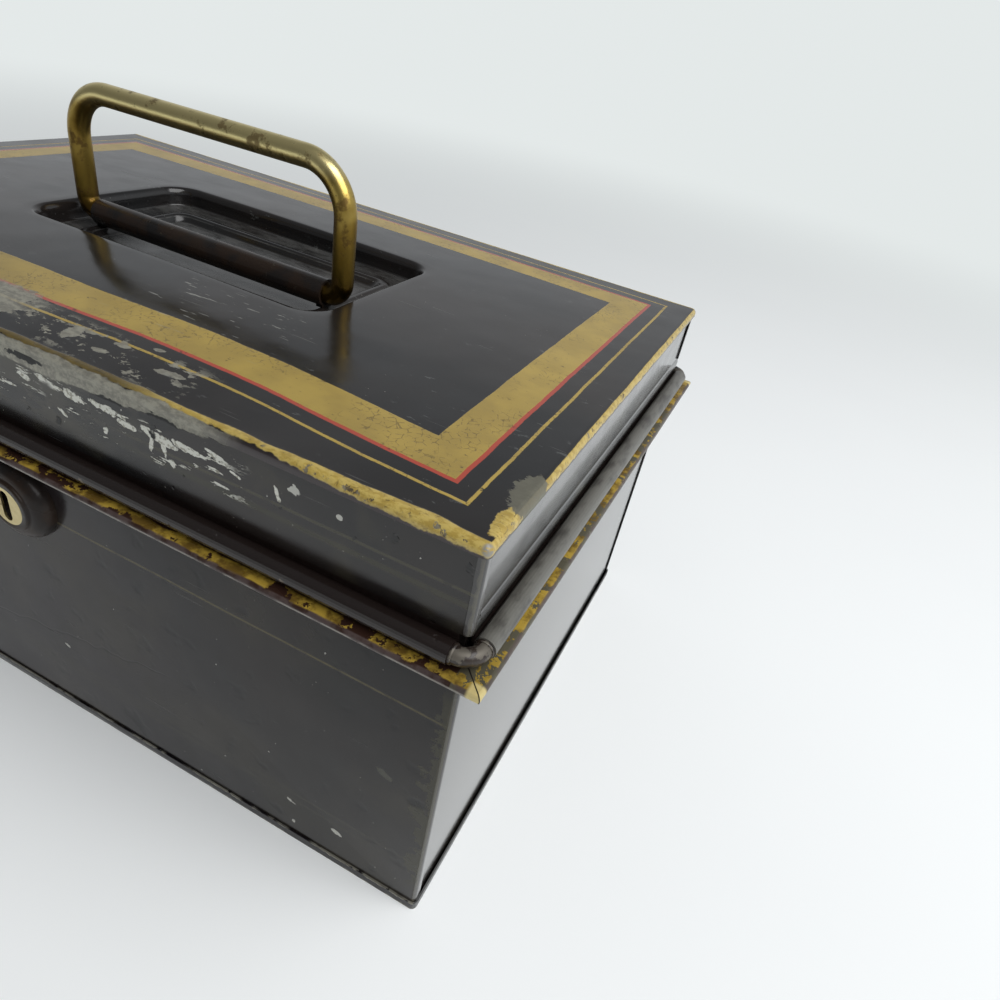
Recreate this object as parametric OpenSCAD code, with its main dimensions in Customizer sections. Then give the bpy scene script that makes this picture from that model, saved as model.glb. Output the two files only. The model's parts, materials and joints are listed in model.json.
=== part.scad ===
// A japanned tin deed box: walls of folded tinplate, a wired lid on two strap hinges,
// a pressed lid top with a tray for the brass bail handle, and a bolt lock.
// The origin is the centre of the base. X runs along the front, Y points to the back.

/* [Box] */
// Length over the folded edge of the lid
box_l = 300; // [240:1:380]
// Width over the folded edge of the lid
box_w = 192; // [160:1:260]
// Height from the underside of the base to the seat of the lid
body_h = 109.8; // [85:0.1:170]
// Height of the lid from its seat to the flat rim of its top
lid_h = 31.8; // [27:0.1:48]
// Thickness of the tinplate
tin = 0.6; // [0.45:0.05:0.8]
// Width of the strip of front and back sheet that laps onto the ends
lap_w = 3; // [2:0.5:5]
// Height of the folded edges of the lid top and of the base
fold_h = 3; // [3:0.1:4]

/* [Ledge and upstand] */
// How far the ledge stands out of the walls
ledge_out = 7.3; // [6.5:0.1:12]
// How far the lip of the ledge lies below the seat of the lid
ledge_drop = 0.8; // [0.6:0.1:2.4]
// Radius of the rolled lip, on the middle of the sheet
lip_r = 0.9; // [0.7:0.1:1.4]
// Height of the upstand that the lid closes over
upstand_h = 12; // [8:0.5:16]
// Height of the hem turned in at the top of the upstand
hem_h = 6; // [3:0.5:7]
// Gap between the lid wall and the upstand, on each side
lid_gap = 0.5; // [0.4:0.05:0.8]
// Gap between the bead of the lid and its seat
seat_gap = 0.3; // [0.2:0.05:0.5]

/* [Lid bead] */
// Radius of the wire in the edge of the lid
wire_r = 2.2; // [1.6:0.1:2.4]
// How far the lid wall flares out before it rolls round the wire
wire_flare = 0.4; // [0.2:0.1:0.6]
// Radius of the bend of the wire at a corner
wire_bend = 4.5; // [4.2:0.1:6]
// Play of the wire in the bead and in the hinge straps
wire_play = 0.06; // [0.03:0.01:0.1]

/* [Lid top] */
// Radius of the rounded edge of the lid, on the middle of the sheet
edge_bend = 1.7; // [0.8:0.1:2]
// How far the top swells above its flat rim
crown = 2.8; // [0:0.1:4]
// Radius of the upright corners of the lid
corner_r = 1.8; // [1.2:0.1:3]
// How far the tray reaches beyond the middle of each leg of the handle
leg_room = 4.9; // [4.7:0.1:8]
// Width of the tray in the lid
tray_w = 68; // [60:1:90]
// Radius of the corners of the tray
tray_r = 9; // [6:0.5:16]
// How far the middle of the tray lies behind the middle of the lid
tray_back = 2; // [0:0.5:6]
// Radius of the rolled edge of the tray, on its outer side
tray_lip = 2.2; // [1.4:0.1:3]
// How far the floor of the tray lies below the bead on its ledge
tray_step = 3; // [1.5:0.1:5]

/* [Handle] */
// Radius of the brass rod
rod_r = 3.5; // [2.4:0.1:3.6]
// Distance between the two legs, on the middle of the rod
grip_l = 109.2; // [95:0.1:109.5]
// Height of the grip above the pivot, on the middle of the rod
grip_h = 38.9; // [32:0.1:39.5]
// Radius of the bends beside the grip
grip_bend = 15; // [10:0.5:18]
// Radius of the bends at the feet
foot_bend = 5; // [4.5:0.1:8]
// How far the pivot lies in front of the middle of the lid
pivot_front = 11.4; // [8:0.1:12]
// Height of the pivot above the flat rim of the lid top
pivot_up = 0.4; // [0:0.1:1.5]
// Outer radius of the tube that holds the feet
tube_r = 4.4; // [4:0.1:5]
// Length of each foot inside the tube
foot_l = 20; // [12:1:30]
// Play of the rod in its tube
rod_play = 0.06; // [0.03:0.01:0.1]

/* [Hinges] */
// Width of a hinge strap
strap_w = 14; // [10:1:20]
// Distance between the two hinge straps, middle to middle
strap_span = 190; // [120:1:210]
// Length of the tail of a strap inside the back
strap_tail = 18; // [14:1:24]
// Radius of the shank of a rivet
rivet_r = 1.2; // [0.9:0.1:1.6]
// Gap between a hinge strap and the notch of the lid
notch_gap = 0.6; // [0.4:0.1:1]

/* [Lock] */
// How far the keyhole lies to the right of the middle
key_x = 9.5; // [6:0.5:12]
// Depth of the keyhole below the seat of the lid
key_down = 20.1; // [19.5:0.1:40]
// Radius of the foot of the boss
boss_r = 12.4; // [11:0.1:14]
// Radius of the face of the boss
boss_face_r = 7.4; // [7:0.1:9]
// How far the boss stands out of the front
boss_out = 5.7; // [4.5:0.1:7]
// Radius of the brass disc
disc_r = 6.1; // [5.5:0.1:6.4]
// Width of the slot of the keyhole
slot_w = 3.2; // [2:0.1:3.6]
// Radius of the pin for the pipe of the key
key_pin_r = 1.2; // [0.9:0.1:1.3]
// Length of the lock case
case_l = 62; // [56:1:80]
// Depth of the lock case behind the front
case_d = 13; // [12.5:0.5:16]
// Travel of the bolt
throw = 6; // [5:0.5:6.5]
// Height of the bolt
bolt_h = 7; // [5.5:0.5:7.5]
// Thickness of the bolt
bolt_t = 2.5; // [2:0.1:3]
// Play of the bolt on its stump
bolt_play = 0.1; // [0.06:0.01:0.1]
// Thickness of the staple on the lid
staple_t = 1.2; // [1:0.1:1.6]

/* [Hidden] */
$fn = 48;
// A cut that goes right through reaches this far past each face
past = 1;
japan = "#1c1c1b";
bare_tin = "#8d8c86";
old_brass = "#a98a3c";

// Half sizes of the rectangle of the outer faces of the walls, for body and lid alike
half_x = box_l / 2 - tin;
half_y = box_w / 2 - tin;
seat_z = body_h;
rim_z = body_h + lid_h;
// Height over which a sheet steps in by its own thickness
jog_h = 2;
// The walls are rounded this much more at their upright corners than the folds round them
corner_ease = 0.3;

// The lid bead: the sheet rolls round the wire, and at the back the wire is the hinge pin
roll_r = wire_r + wire_play + tin / 2;
bead_r = roll_r + tin / 2;
wire_out = wire_flare + roll_r - tin / 2;
wire_z = seat_z + seat_gap + bead_r;
collar_t = 0.8;
// The roll starts and ends at these angles, counted from straight outwards
roll_from = 200;
roll_to = 490;
cove_z = wire_z + bead_r + notch_gap;

// The upstand clears the ends of the lid, which lie one sheet further in than its front
upstand_out = -2 * tin - lid_gap - tin / 2;
hem_gap = 0.05;
lip_z = seat_z - ledge_drop - lip_r;
foot_jog_z = lip_z - lip_r - tin / 2 - 2 * jog_h;

// The lid top. Its edge bends over the walls, top_clear from the outer corners of their tops.
top_clear = 0.15;
lid_side_top = rim_z - tin / 2 - edge_bend - top_clear;
lid_end_top = rim_z - tin / 2 - edge_bend
    + sqrt(pow(edge_bend - tin / 2 - top_clear, 2) - pow(max(0, edge_bend - 1.5 * tin), 2));
crown_start = tin / 2 + edge_bend + 0.5;
tray_fillet = 1.2;
tray_bead = 0.8;
// The bead of the tray lies this far outside the edge of its floor
bead_place = 2.5;
// Least radius of the corners of the tray, at its floor
floor_r = 5;
pivot_z = rim_z + pivot_up;
crest_z = pivot_z - tube_r;

// Handle. The ledge of the tray is so wide that the tube ends on its bead.
leg_x = grip_l / 2;
tube_gap = 0.6;
tube_half = leg_x - foot_bend - tube_gap;
tray_l = grip_l + 2 * leg_room;
tray_ledge = leg_room + foot_bend + tube_gap + bead_place;
saddle_l = 2.4;
saddle_w = 5;

// Hinges
strap_slot = 0.3;
tail_in = -upstand_out + tin + 0.15;
tail_joggle = 4.5;
tail_low = seat_z - strap_tail - tail_joggle;
rivet_zs = [tail_low + 4, tail_low + 12];
rivet_head_r = 2 * rivet_r;
rivet_head_h = 0.8;

// Lock. Depths are counted inwards from the inner face of the front.
key_z = seat_z - key_down;
case_sheet = 0.8;
case_mid = 2;
case_x0 = case_mid - case_l / 2;
case_x1 = case_mid + case_l / 2;
case_top = key_z + 14.5;
case_low = key_z - 14.5;
bolt_in = 7.5;
bolt_low = key_z + 2.8;
bolt_top = bolt_low + bolt_h;
staple_x = case_x0 + 9;
// Room for the bolt in the window of the staple, across the bolt and above it, and the metal beside it
window_gap = [0.95, 0.5];
staple_web = 1.2;
staple_half = bolt_t / 2 + window_gap[0] + staple_web;
staple_in = [bolt_in - staple_half, bolt_in + staple_half];
bolt_x0 = staple_x + staple_t / 2 + 1.4;
bolt_x1 = case_x1 - 4;
// The cut in the case leaves this much room for the staple, which swings outwards as the lid opens
staple_swing = 2;
stump_r = 1;
stump_xs = [key_x - 14, key_x + 12];
slot_z = (bolt_low + bolt_top) / 2 + 1;
screw_r = 0.9;
screw_head_r = 2;
screw_inset = 4;

// Plain 2D helpers
function unit(v) = v / norm(v);
function left_of(v) = [-v[1], v[0]];
function lerp(a, b, t) = a + (b - a) * t;
function arc(c, r, a0, a1, n) = [for (k = [0:n])
    let (a = lerp(a0, a1, k / n)) c + r * [cos(a), sin(a)]];

// The point that lies d to the left of a path at its vertex i
function beside(path, i, d) =
    let (
        last = len(path) - 1,
        into = left_of(unit(i > 0 ? path[i] - path[i - 1] : path[1] - path[0])),
        away = left_of(unit(i < last ? path[i + 1] - path[i] : path[last] - path[last - 1])),
        m = unit(into + away)
    )
    path[i] + m * d / (m * into);
function beside_all(path, d) = [for (i = [0:len(path) - 1]) beside(path, i, d)];
function backwards(list) = [for (i = [len(list) - 1:-1:0]) list[i]];

// The outline of a sheet of tin whose middle follows a path
function sheet(path) = concat(beside_all(path, tin / 2), backwards(beside_all(path, -tin / 2)));

// Sections of the walls, as [out of the wall plane, height]. inset is the lap of the ends.
function body_path(inset) = concat(
    [[-tin / 2 - inset, tin], [-tin / 2 - inset, foot_jog_z], [-tin / 2, foot_jog_z + jog_h],
        [-tin / 2, lip_z - lip_r]],
    arc([ledge_out - lip_r - tin / 2, lip_z], lip_r, -90, 80, 8),
    [[upstand_out, seat_z - tin / 2]],
    arc([upstand_out - (tin + hem_gap) / 2, seat_z + upstand_h - tin], (tin + hem_gap) / 2, 0, 180, 6),
    [[upstand_out - tin - hem_gap, seat_z + upstand_h - hem_h]]);

// The flare of the lid wall ends where its slope meets the roll round the wire.
function lid_path(inset, top) =
    let (
        start = [wire_out + roll_r * cos(roll_from), wire_z + roll_r * sin(roll_from)],
        flare_z = start[1] + (start[0] + tin / 2) / tan(roll_from - 180)
    )
    concat(
        [[-tin / 2 - inset, top], [-tin / 2 - inset, cove_z + 2 * jog_h], [-tin / 2, cove_z + jog_h],
            [-tin / 2, flare_z]],
        arc([wire_out, wire_z], roll_r, roll_from, roll_to, 20));

// A strap loops over the wire, passes in through the upstand and lies down the inside of the back
function strap_path() = concat(
    arc([wire_out, wire_z], roll_r, 150, -90, 16),
    [[-tail_in, wire_z - roll_r], [-tail_in, seat_z - tin - lip_r],
        [-tin * 1.5, seat_z - tail_joggle - tin], [-tin * 1.5, tail_low]]);

// A sheet that runs along X with its outer side towards -Y
module run_x(path, length) {
    translate([-length / 2, 0, 0])
        rotate([90, 0, 90])
        mirror([1, 0])
        linear_extrude(height = length)
        polygon(sheet(path));
}

// The space that one wall has between the mitres of its two corners.
// across is the half size towards the wall, along is the half size along it.
module mitre(across, along) {
    reach = ledge_out + past;
    depth = 20;
    linear_extrude(height = rim_z)
        polygon([[-along - reach, -across - reach], [along + reach, -across - reach],
            [along - depth, -across + depth], [-along + depth, -across + depth]]);
}

// One wall in front of the origin
module wall(path, across, along) {
    intersection() {
        translate([0, -across, 0])
            run_x(path, 2 * (along + ledge_out + past));
        mitre(across, along);
    }
}

// What rounds the four upright corners of body and lid
module corner_cuts(low, high) {
    r = corner_r - tin + corner_ease;
    for (x = [-1, 1])
        for (y = [-1, 1])
            translate([x * (half_x - r), y * (half_y - r), low])
                difference() {
                    translate([x > 0 ? 0 : -r - past, y > 0 ? 0 : -r - past, 0])
                        cube([r + past, r + past, high - low]);
                    translate([0, 0, -past])
                        cylinder(r = r, h = high - low + 2 * past);
                }
}

// The strips of a front or back sheet that lap onto the ends
module laps(low, high) {
    for (x = [-half_x, half_x - tin])
        translate([x, -half_y, low])
            cube([tin, lap_w, high - low]);
}

module body_long_side() {
    difference() {
        union() {
            wall(body_path(0), half_y, half_x);
            laps(tin, foot_jog_z);
        }
        corner_cuts(0, foot_jog_z + jog_h);
    }
}

module body_end() {
    difference() {
        rotate([0, 0, -90])
            wall(body_path(tin), half_x, half_y);
        corner_cuts(0, foot_jog_z + jog_h);
    }
}

module body_front() {
    color(japan)
        difference() {
            body_long_side();
            translate([key_x, -half_y - past, key_z])
                rotate([-90, 0, 0])
                cylinder(r = disc_r - 1, h = tin + 2 * past);
        }
}

module body_back() {
    color(japan)
        difference() {
            mirror([0, 1, 0]) body_long_side();
            for (s = [-1, 1])
                translate([s * strap_span / 2 - strap_w / 2 - strap_slot, half_y - 4, seat_z])
                    cube([strap_w + 2 * strap_slot, 4, bead_r]);
            rivet_shanks(rivet_r + wire_play);
        }
}

module body_left_end() {
    color(japan) body_end();
}

module body_right_end() {
    color(japan) mirror([1, 0, 0]) body_end();
}

// The outline of the box over its folded edges, or inside them
module plan(inset) {
    r = corner_r - inset;
    x = box_l / 2 - corner_r;
    y = box_w / 2 - corner_r;
    for (sx = [-1, 1])
        for (sy = [-1, 1])
            translate([sx * x, sy * y])
                circle(r = r);
    square([2 * x, 2 * (y + r)], center = true);
    square([2 * (x + r), 2 * y], center = true);
}

// The base is a shallow tray soldered round the foot of the walls
module base_plate() {
    color(japan)
        difference() {
            linear_extrude(height = fold_h) plan(0);
            translate([0, 0, tin])
                linear_extrude(height = fold_h) plan(tin);
        }
}

// Puts a shape, whose z axis points out of the front and whose y axis points up, at the keyhole
module at_keyhole(out) {
    translate([key_x, -half_y - out, key_z])
        rotate([90, 0, 0])
        children();
}

// The boss is one turned revolve: a dome with a rounded edge round the disc
module lock_boss() {
    edge_r = 0.8;
    foot_t = 0.5;
    spread = boss_r - boss_face_r - edge_r;
    rise = boss_out - edge_r - foot_t;
    color(japan)
        at_keyhole(0)
        difference() {
            rotate_extrude($fn = 64)
                polygon(concat(
                    [[0, 0], [boss_r, 0]],
                    [for (a = [0:15:75]) [boss_r - spread * (1 - cos(a)), foot_t + rise * sin(a)]],
                    arc([boss_face_r, boss_out - edge_r], edge_r, 0, 90, 4),
                    [[0, boss_out]]));
            translate([0, 0, -past])
                cylinder(r = disc_r - 1, h = boss_out + 2 * past);
            translate([0, 0, boss_out - tin])
                cylinder(r = disc_r, h = 2 * past);
        }
}

module escutcheon() {
    slot_reach = disc_r - 1.1 - slot_w / 2;
    color(old_brass)
        at_keyhole(boss_out - tin)
        difference() {
            cylinder(r = disc_r, h = tin);
            for (y = [-slot_reach, slot_reach])
                translate([0, y, -past])
                    cylinder(r = slot_w / 2, h = tin + 2 * past);
            translate([-slot_w / 2, -slot_reach, -past])
                cube([slot_w, 2 * slot_reach, tin + 2 * past]);
        }
}

// Puts a shape inside the front: x to the right, y up, z inwards from the inner face
module in_lock() {
    translate([0, -half_y + tin, 0])
        mirror([0, 1, 0])
        rotate([90, 0, 0])
        children();
}

// The case is a folded box with its open side to the inside of the deed box
module lock_case() {
    color(bare_tin)
        in_lock()
        difference() {
            translate([case_x0, case_low, 0])
                cube([case_l, case_top - case_low, case_d - case_sheet]);
            translate([case_x0 + case_sheet, case_low + case_sheet, case_sheet])
                cube([case_l - 2 * case_sheet, case_top - case_low - 2 * case_sheet, case_d]);
            translate([key_x, key_z, -past])
                cylinder(r = disc_r - 1, h = case_sheet + 2 * past);
            translate([staple_x - staple_t, case_top - case_sheet - past, staple_in[0] - staple_swing])
                cube([2 * staple_t, case_sheet + 2 * past, 2 * staple_half + staple_swing + window_gap[1]]);
        }
}

function screw_places() = [for (x = [case_x0 + screw_inset, case_x1 - screw_inset])
    [x, case_low + screw_inset]];

module lock_cap() {
    color(bare_tin)
        in_lock()
        difference() {
            translate([case_x0, case_low, case_d - case_sheet])
                cube([case_l, case_top - case_low, case_sheet]);
            for (p = screw_places())
                translate([p[0], p[1], case_d - case_sheet - past])
                    cylinder(r = screw_r + wire_play, h = case_sheet + 2 * past);
            translate([key_x, key_z, case_d - case_sheet - past])
                cylinder(r = key_pin_r, h = case_sheet + 2 * past);
        }
}

// Each screw stands in a turned pillar on the plate of the case
module lock_cap_screws() {
    pillar_r = 1.8;
    color(bare_tin)
        in_lock()
        for (p = screw_places())
            translate([p[0], p[1], 0])
                difference() {
                    union() {
                        translate([0, 0, case_sheet])
                            cylinder(r = pillar_r, h = case_d - 2 * case_sheet);
                        translate([0, 0, case_sheet])
                            cylinder(r = screw_r, h = case_d - case_sheet);
                        translate([0, 0, case_d])
                            cylinder(r1 = screw_head_r, r2 = screw_head_r - 0.5, h = 1);
                    }
                    translate([-screw_head_r - past, -0.25, case_d + 0.5])
                        cube([2 * screw_head_r + 2 * past, 0.5, 2 * past]);
                }
}

// The pin takes the pipe of the key. It is riveted to the cap and ends inside the boss.
module key_pin() {
    color(bare_tin)
        in_lock()
        translate([key_x, key_z, 0])
        union() {
            translate([0, 0, -tin - boss_out + 3 * tin])
                cylinder(r = key_pin_r, h = case_d + boss_out - 2 * tin);
            translate([0, 0, case_d])
                cylinder(r1 = 1.8 * key_pin_r, r2 = 1.2 * key_pin_r, h = 0.7);
        }
}

// Two shouldered stumps on the plate of the case carry and guide the bolt
module bolt_stumps() {
    color(bare_tin)
        in_lock()
        for (x = stump_xs)
            translate([x, slot_z, case_sheet]) {
                cylinder(r = 2 * stump_r, h = bolt_in - bolt_t / 2 - bolt_play - case_sheet);
                cylinder(r = stump_r, h = case_d - 2 * case_sheet);
            }
}

// A bent strip, soldered under the top of the case, lies along the top of the bolt
module bolt_spring() {
    strip = 0.4;
    anchor = 6;
    span = 22;
    top = case_top - case_sheet;
    sag = top - bolt_top - bolt_play - strip;
    x = case_x1 - 9;
    color(bare_tin)
        in_lock()
        translate([0, 0, bolt_in - bolt_t / 2])
        linear_extrude(height = bolt_t)
        union() {
            translate([x - anchor, top - strip])
                square([anchor, strip]);
            polygon(concat(
                [for (k = [0:16]) [x - anchor - span * k / 16, top - sag * (1 - cos(180 * k / 16)) / 2]],
                [for (k = [16:-1:0])
                    [x - anchor - span * k / 16, top - strip - sag * (1 - cos(180 * k / 16)) / 2]]));
        }
}

// The bolt: a flat bar with a talon for the key and two slots for the stumps
module lock_bolt() {
    talon_w = 5;
    talon_h = 3.1;
    slot_r = stump_r + bolt_play;
    color(bare_tin)
        in_lock()
        translate([0, 0, bolt_in - bolt_t / 2])
        difference() {
            translate([bolt_x0, bolt_low, 0])
                cube([bolt_x1 - bolt_x0, bolt_h, bolt_t]);
            translate([key_x - talon_w / 2, bolt_low - past, -past])
                cube([talon_w, talon_h + past, bolt_t + 2 * past]);
            for (x = stump_xs) {
                for (dx = [0, throw])
                    translate([x + dx, slot_z, -past])
                        cylinder(r = slot_r, h = bolt_t + 2 * past);
                translate([x, slot_z - slot_r, -past])
                    cube([throw, 2 * slot_r, bolt_t + 2 * past]);
            }
        }
}

// Puts a shape on the outside of the back at each rivet, z out of the wall
module at_rivets(sides) {
    for (s = sides)
        for (z = rivet_zs)
            translate([s * strap_span / 2, half_y, z])
                rotate([-90, 0, 0])
                children();
}

module rivet_shanks(r) {
    at_rivets([-1, 1])
        translate([0, 0, -2 * tin - past])
        cylinder(r = r, h = 2 * tin + 2 * past);
}

module hinge_strap(side) {
    color(bare_tin)
        difference() {
            translate([side * strap_span / 2, half_y, 0])
                mirror([0, 1, 0])
                run_strap();
            rivet_shanks(rivet_r + wire_play);
        }
}

module run_strap() {
    translate([-strap_w / 2, 0, 0])
        rotate([90, 0, 90])
        mirror([1, 0])
        linear_extrude(height = strap_w)
        polygon(sheet(strap_path()));
}

module hinge_strap_left() {
    hinge_strap(-1);
}

module hinge_strap_right() {
    hinge_strap(1);
}

module hinge_rivets() {
    color(bare_tin)
        at_rivets([-1, 1])
        union() {
            translate([0, 0, -2 * tin])
                cylinder(r = rivet_r, h = 2 * tin);
            cylinder(r1 = rivet_head_r, r2 = 0.6 * rivet_head_r, h = rivet_head_h);
            translate([0, 0, -2 * tin - rivet_head_h])
                cylinder(r1 = 0.6 * rivet_head_r, r2 = rivet_head_r, h = rivet_head_h);
        }
}

// The roll of the bead stops short of the corners, where the wire bends
roll_stop = wire_bend - wire_out + collar_t;

module bead_ends(across, along) {
    reach = ledge_out + past;
    for (x = [-along - reach, along - roll_stop])
        translate([x, -across - reach, 0])
            cube([roll_stop + reach, reach + 4 * tin, cove_z]);
}

module lid_long_side() {
    difference() {
        union() {
            wall(lid_path(0, lid_side_top), half_y, half_x);
            laps(cove_z + 2 * jog_h, lid_side_top);
        }
        bead_ends(half_y, half_x);
        corner_cuts(cove_z - past, rim_z);
    }
}

module lid_end() {
    difference() {
        rotate([0, 0, -90])
            difference() {
                wall(lid_path(tin, lid_end_top), half_x, half_y);
                bead_ends(half_x, half_y);
            }
        corner_cuts(cove_z - past, rim_z);
    }
}

module lid_front() {
    color(japan) lid_long_side();
}

module lid_back() {
    color(japan)
        difference() {
            mirror([0, 1, 0]) lid_long_side();
            for (s = [-1, 1])
                translate([s * strap_span / 2 - strap_w / 2 - notch_gap, half_y - 2 * tin, 0])
                    cube([strap_w + 2 * notch_gap, 2 * tin + wire_out + bead_r + past, cove_z]);
        }
}

module lid_left_end() {
    color(japan) lid_end();
}

module lid_right_end() {
    color(japan) mirror([1, 0, 0]) lid_end();
}

// The section of the lid top runs inwards from the foot of its folded edge to the floor of
// the tray. Its first number is the inset from the edge, or far + how deep inside the tray wall.
far = 1000;
function top_path() =
    let (
        b = tray_bead,
        ledge_z = crest_z - b - tin / 2,
        inner = far + tray_ledge,
        ridge = inner - bead_place
    )
    concat(
        [[tin / 2, rim_z - fold_h]],
        arc([tin / 2 + edge_bend, rim_z - tin / 2 - edge_bend], edge_bend, 180, 90, 5),
        [for (t = [0, 0.12, 0.3, 0.5, 0.75]) [lerp(crown_start, far - tray_lip, t), rim_z - tin / 2]],
        arc([far - tray_lip, rim_z - tray_lip], tray_lip - tin / 2, 90, 0, 4),
        arc([far - tin / 2 + tray_fillet, ledge_z + tray_fillet], tray_fillet, 180, 270, 3),
        [[ridge - 2.1, ledge_z], [ridge - 1.3, ledge_z + 0.75 * b], [ridge - 0.5, ledge_z + b],
            [ridge + 0.5, ledge_z + b], [ridge + 1.1, ledge_z + 0.6 * b],
            [inner, crest_z - tray_step - tin / 2 + 0.6],
            [inner + 0.9, crest_z - tray_step - tin / 2]]);

// A rounded rectangle as points that run anticlockwise, with the same count for every size
corner_steps = 5;
long_steps = 8;
short_steps = 6;
function strip(a, b, n) = [for (k = [1:n - 1]) lerp(a, b, k / n)];
function ring(hx, hy, r, cy) =
    let (c = [hx - r, hy - r], q = [[1, 1], [-1, 1], [-1, -1], [1, -1]])
    [for (i = [0:3])
        let (
            j = (i + 1) % 4,
            here = [c[0] * q[i][0], c[1] * q[i][1] + cy],
            next = [c[0] * q[j][0], c[1] * q[j][1] + cy],
            a = 90 * i,
            turn = arc(here, r, a, a + 90, corner_steps),
            side = strip(here + r * [cos(a + 90), sin(a + 90)], next + r * [cos(a + 90), sin(a + 90)],
                i % 2 == 0 ? long_steps : short_steps)
        )
        each concat(turn, side)];

// How far the crown lifts a point, from nothing at the edge to all of it in the middle
function swell(p) = crown * (1 - pow(p[0] / (box_l / 2 - crown_start), 2))
    * (1 - pow(p[1] / (box_w / 2 - crown_start), 2));

// The ring of one point of the section: near the edge it follows the box, near the tray the tray
function top_ring(p) =
    let (
        u = p[0],
        t = max(0, min(1, (u - crown_start) / (far - tray_lip - crown_start))),
        edge = min(u, crown_start),
        deep = max(u - far, -tray_lip),
        outer = ring(box_l / 2 - edge, box_w / 2 - edge, max(0.6, corner_r - edge), 0),
        inner = ring(tray_l / 2 - deep, tray_w / 2 - deep, max(floor_r, tray_r - deep), tray_back),
        rise = u <= crown_start ? 0 : (u < far ? 1 : max(0, min(1, (p[1] - crest_z) / (rim_z - crest_z))))
    )
    [for (k = [0:len(outer) - 1])
        let (q = lerp(outer[k], inner[k], t))
        [q[0], q[1], p[1] + rise * swell(q)]];

module lid_top() {
    path = top_path();
    n = len(path);
    rings = concat(
        [for (p = beside_all(path, tin / 2)) top_ring(p)],
        [for (p = backwards(beside_all(path, -tin / 2))) top_ring(p)]);
    m = len(rings[0]);
    hubs = [for (i = [n - 1, n]) [0, tray_back, rings[i][0][2]]];
    color(japan)
        polyhedron(
            points = concat([for (r = rings) each r], hubs),
            faces = concat(
                [for (i = [0:2 * n - 1])
                    if (i != n - 1)
                        for (k = [0:m - 1])
                            let (
                                j = (i + 1) % (2 * n),
                                l = (k + 1) % m,
                                a = i * m + k,
                                b = i * m + l,
                                c = j * m + l,
                                d = j * m + k
                            )
                            each [[a, d, c], [a, c, b]]],
                [for (k = [0:m - 1]) [(n - 1) * m + (k + 1) % m, (n - 1) * m + k, 2 * n * m]],
                [for (k = [0:m - 1]) [n * m + k, n * m + (k + 1) % m, 2 * n * m + 1]]));
}

// The wire of the bead: four rods and four bends, with a collar of solder at each end of a roll
module lid_wire() {
    wx = half_x + wire_out;
    wy = half_y + wire_out;
    color(bare_tin)
        translate([0, 0, wire_z])
        union() {
            for (s = [-1, 1]) {
                wire_rod([0, s * wy, 0], wx - wire_bend, 0);
                wire_rod([s * wx, 0, 0], wy - wire_bend, 90);
            }
            for (q = [[1, 1, 0], [-1, 1, 90], [-1, -1, 180], [1, -1, 270]])
                translate([q[0] * (wx - wire_bend), q[1] * (wy - wire_bend), 0])
                    rotate([0, 0, q[2]])
                    rotate_extrude(angle = 90, $fn = 64)
                    translate([wire_bend, 0])
                    circle(r = wire_r);
        }
}

module wire_rod(middle, half, turn) {
    translate(middle)
        rotate([0, 90, turn]) {
            cylinder(r = wire_r, h = 2 * half, center = true);
            for (z = [-half, half - collar_t])
                translate([0, 0, z])
                    cylinder(r = bead_r - tin / 2, h = collar_t);
        }
}

// The staple hangs from the front of the lid, behind the hem of the upstand, into the lock
module lid_staple() {
    foot_w = 12;
    foot_top = rim_z - 6;
    foot_low = seat_z + upstand_h + 1.5;
    low = bolt_low - window_gap[1] - 1.5;
    color(bare_tin)
        in_lock()
        difference() {
            union() {
                translate([staple_x - staple_t / 2, foot_low, 0])
                    cube([foot_w, foot_top - foot_low, staple_t]);
                translate([staple_x - staple_t / 2, foot_low, 0])
                    cube([staple_t, foot_top - foot_low, staple_in[1]]);
                translate([staple_x - staple_t / 2, low, staple_in[0]])
                    cube([staple_t, foot_top - low, staple_in[1] - staple_in[0]]);
            }
            translate([staple_x - staple_t, bolt_low - window_gap[1], staple_in[0] + staple_web])
                cube([2 * staple_t, bolt_h + 2 * window_gap[1], bolt_t + 2 * window_gap[0]]);
        }
}

// The tube lies across the tray and stands on its bead with a saddle of solder at each end
module handle_tube() {
    color(japan)
        translate([0, -pivot_front, pivot_z])
        difference() {
            union() {
                rotate([0, 90, 0])
                    cylinder(r = tube_r, h = 2 * tube_half, center = true);
                for (x = [-tube_half, tube_half - saddle_l])
                    translate([x, -saddle_w / 2, -tube_r])
                        cube([saddle_l, saddle_w, tube_r / 2]);
            }
            rotate([0, 90, 0])
                cylinder(r = rod_r + rod_play, h = 2 * tube_half + 2 * past, center = true);
        }
}

// The bail handle is one brass rod: two feet, two legs and the grip, joined by round bends
module handle() {
    color(old_brass)
        translate([0, -pivot_front, pivot_z])
        union() {
            for (s = [0, 1])
                mirror([s, 0, 0]) {
                    translate([leg_x - foot_bend - foot_l, 0, 0])
                        rotate([0, 90, 0])
                        cylinder(r = rod_r, h = foot_l);
                    translate([leg_x - foot_bend, 0, foot_bend])
                        rod_bend(foot_bend, -90);
                    translate([leg_x, 0, foot_bend])
                        cylinder(r = rod_r, h = grip_h - foot_bend - grip_bend);
                    translate([leg_x - grip_bend, 0, grip_h - grip_bend])
                        rod_bend(grip_bend, 0);
                }
            translate([0, 0, grip_h])
                rotate([0, 90, 0])
                cylinder(r = rod_r, h = 2 * (leg_x - grip_bend), center = true);
        }
}

// A quarter bend of the rod in the XZ plane, from the angle given to 90 degrees on
module rod_bend(r, from) {
    rotate([90, 0, 0])
        rotate([0, 0, from])
        rotate_extrude(angle = 90, $fn = 64)
        translate([r, 0])
        circle(r = rod_r);
}

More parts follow.
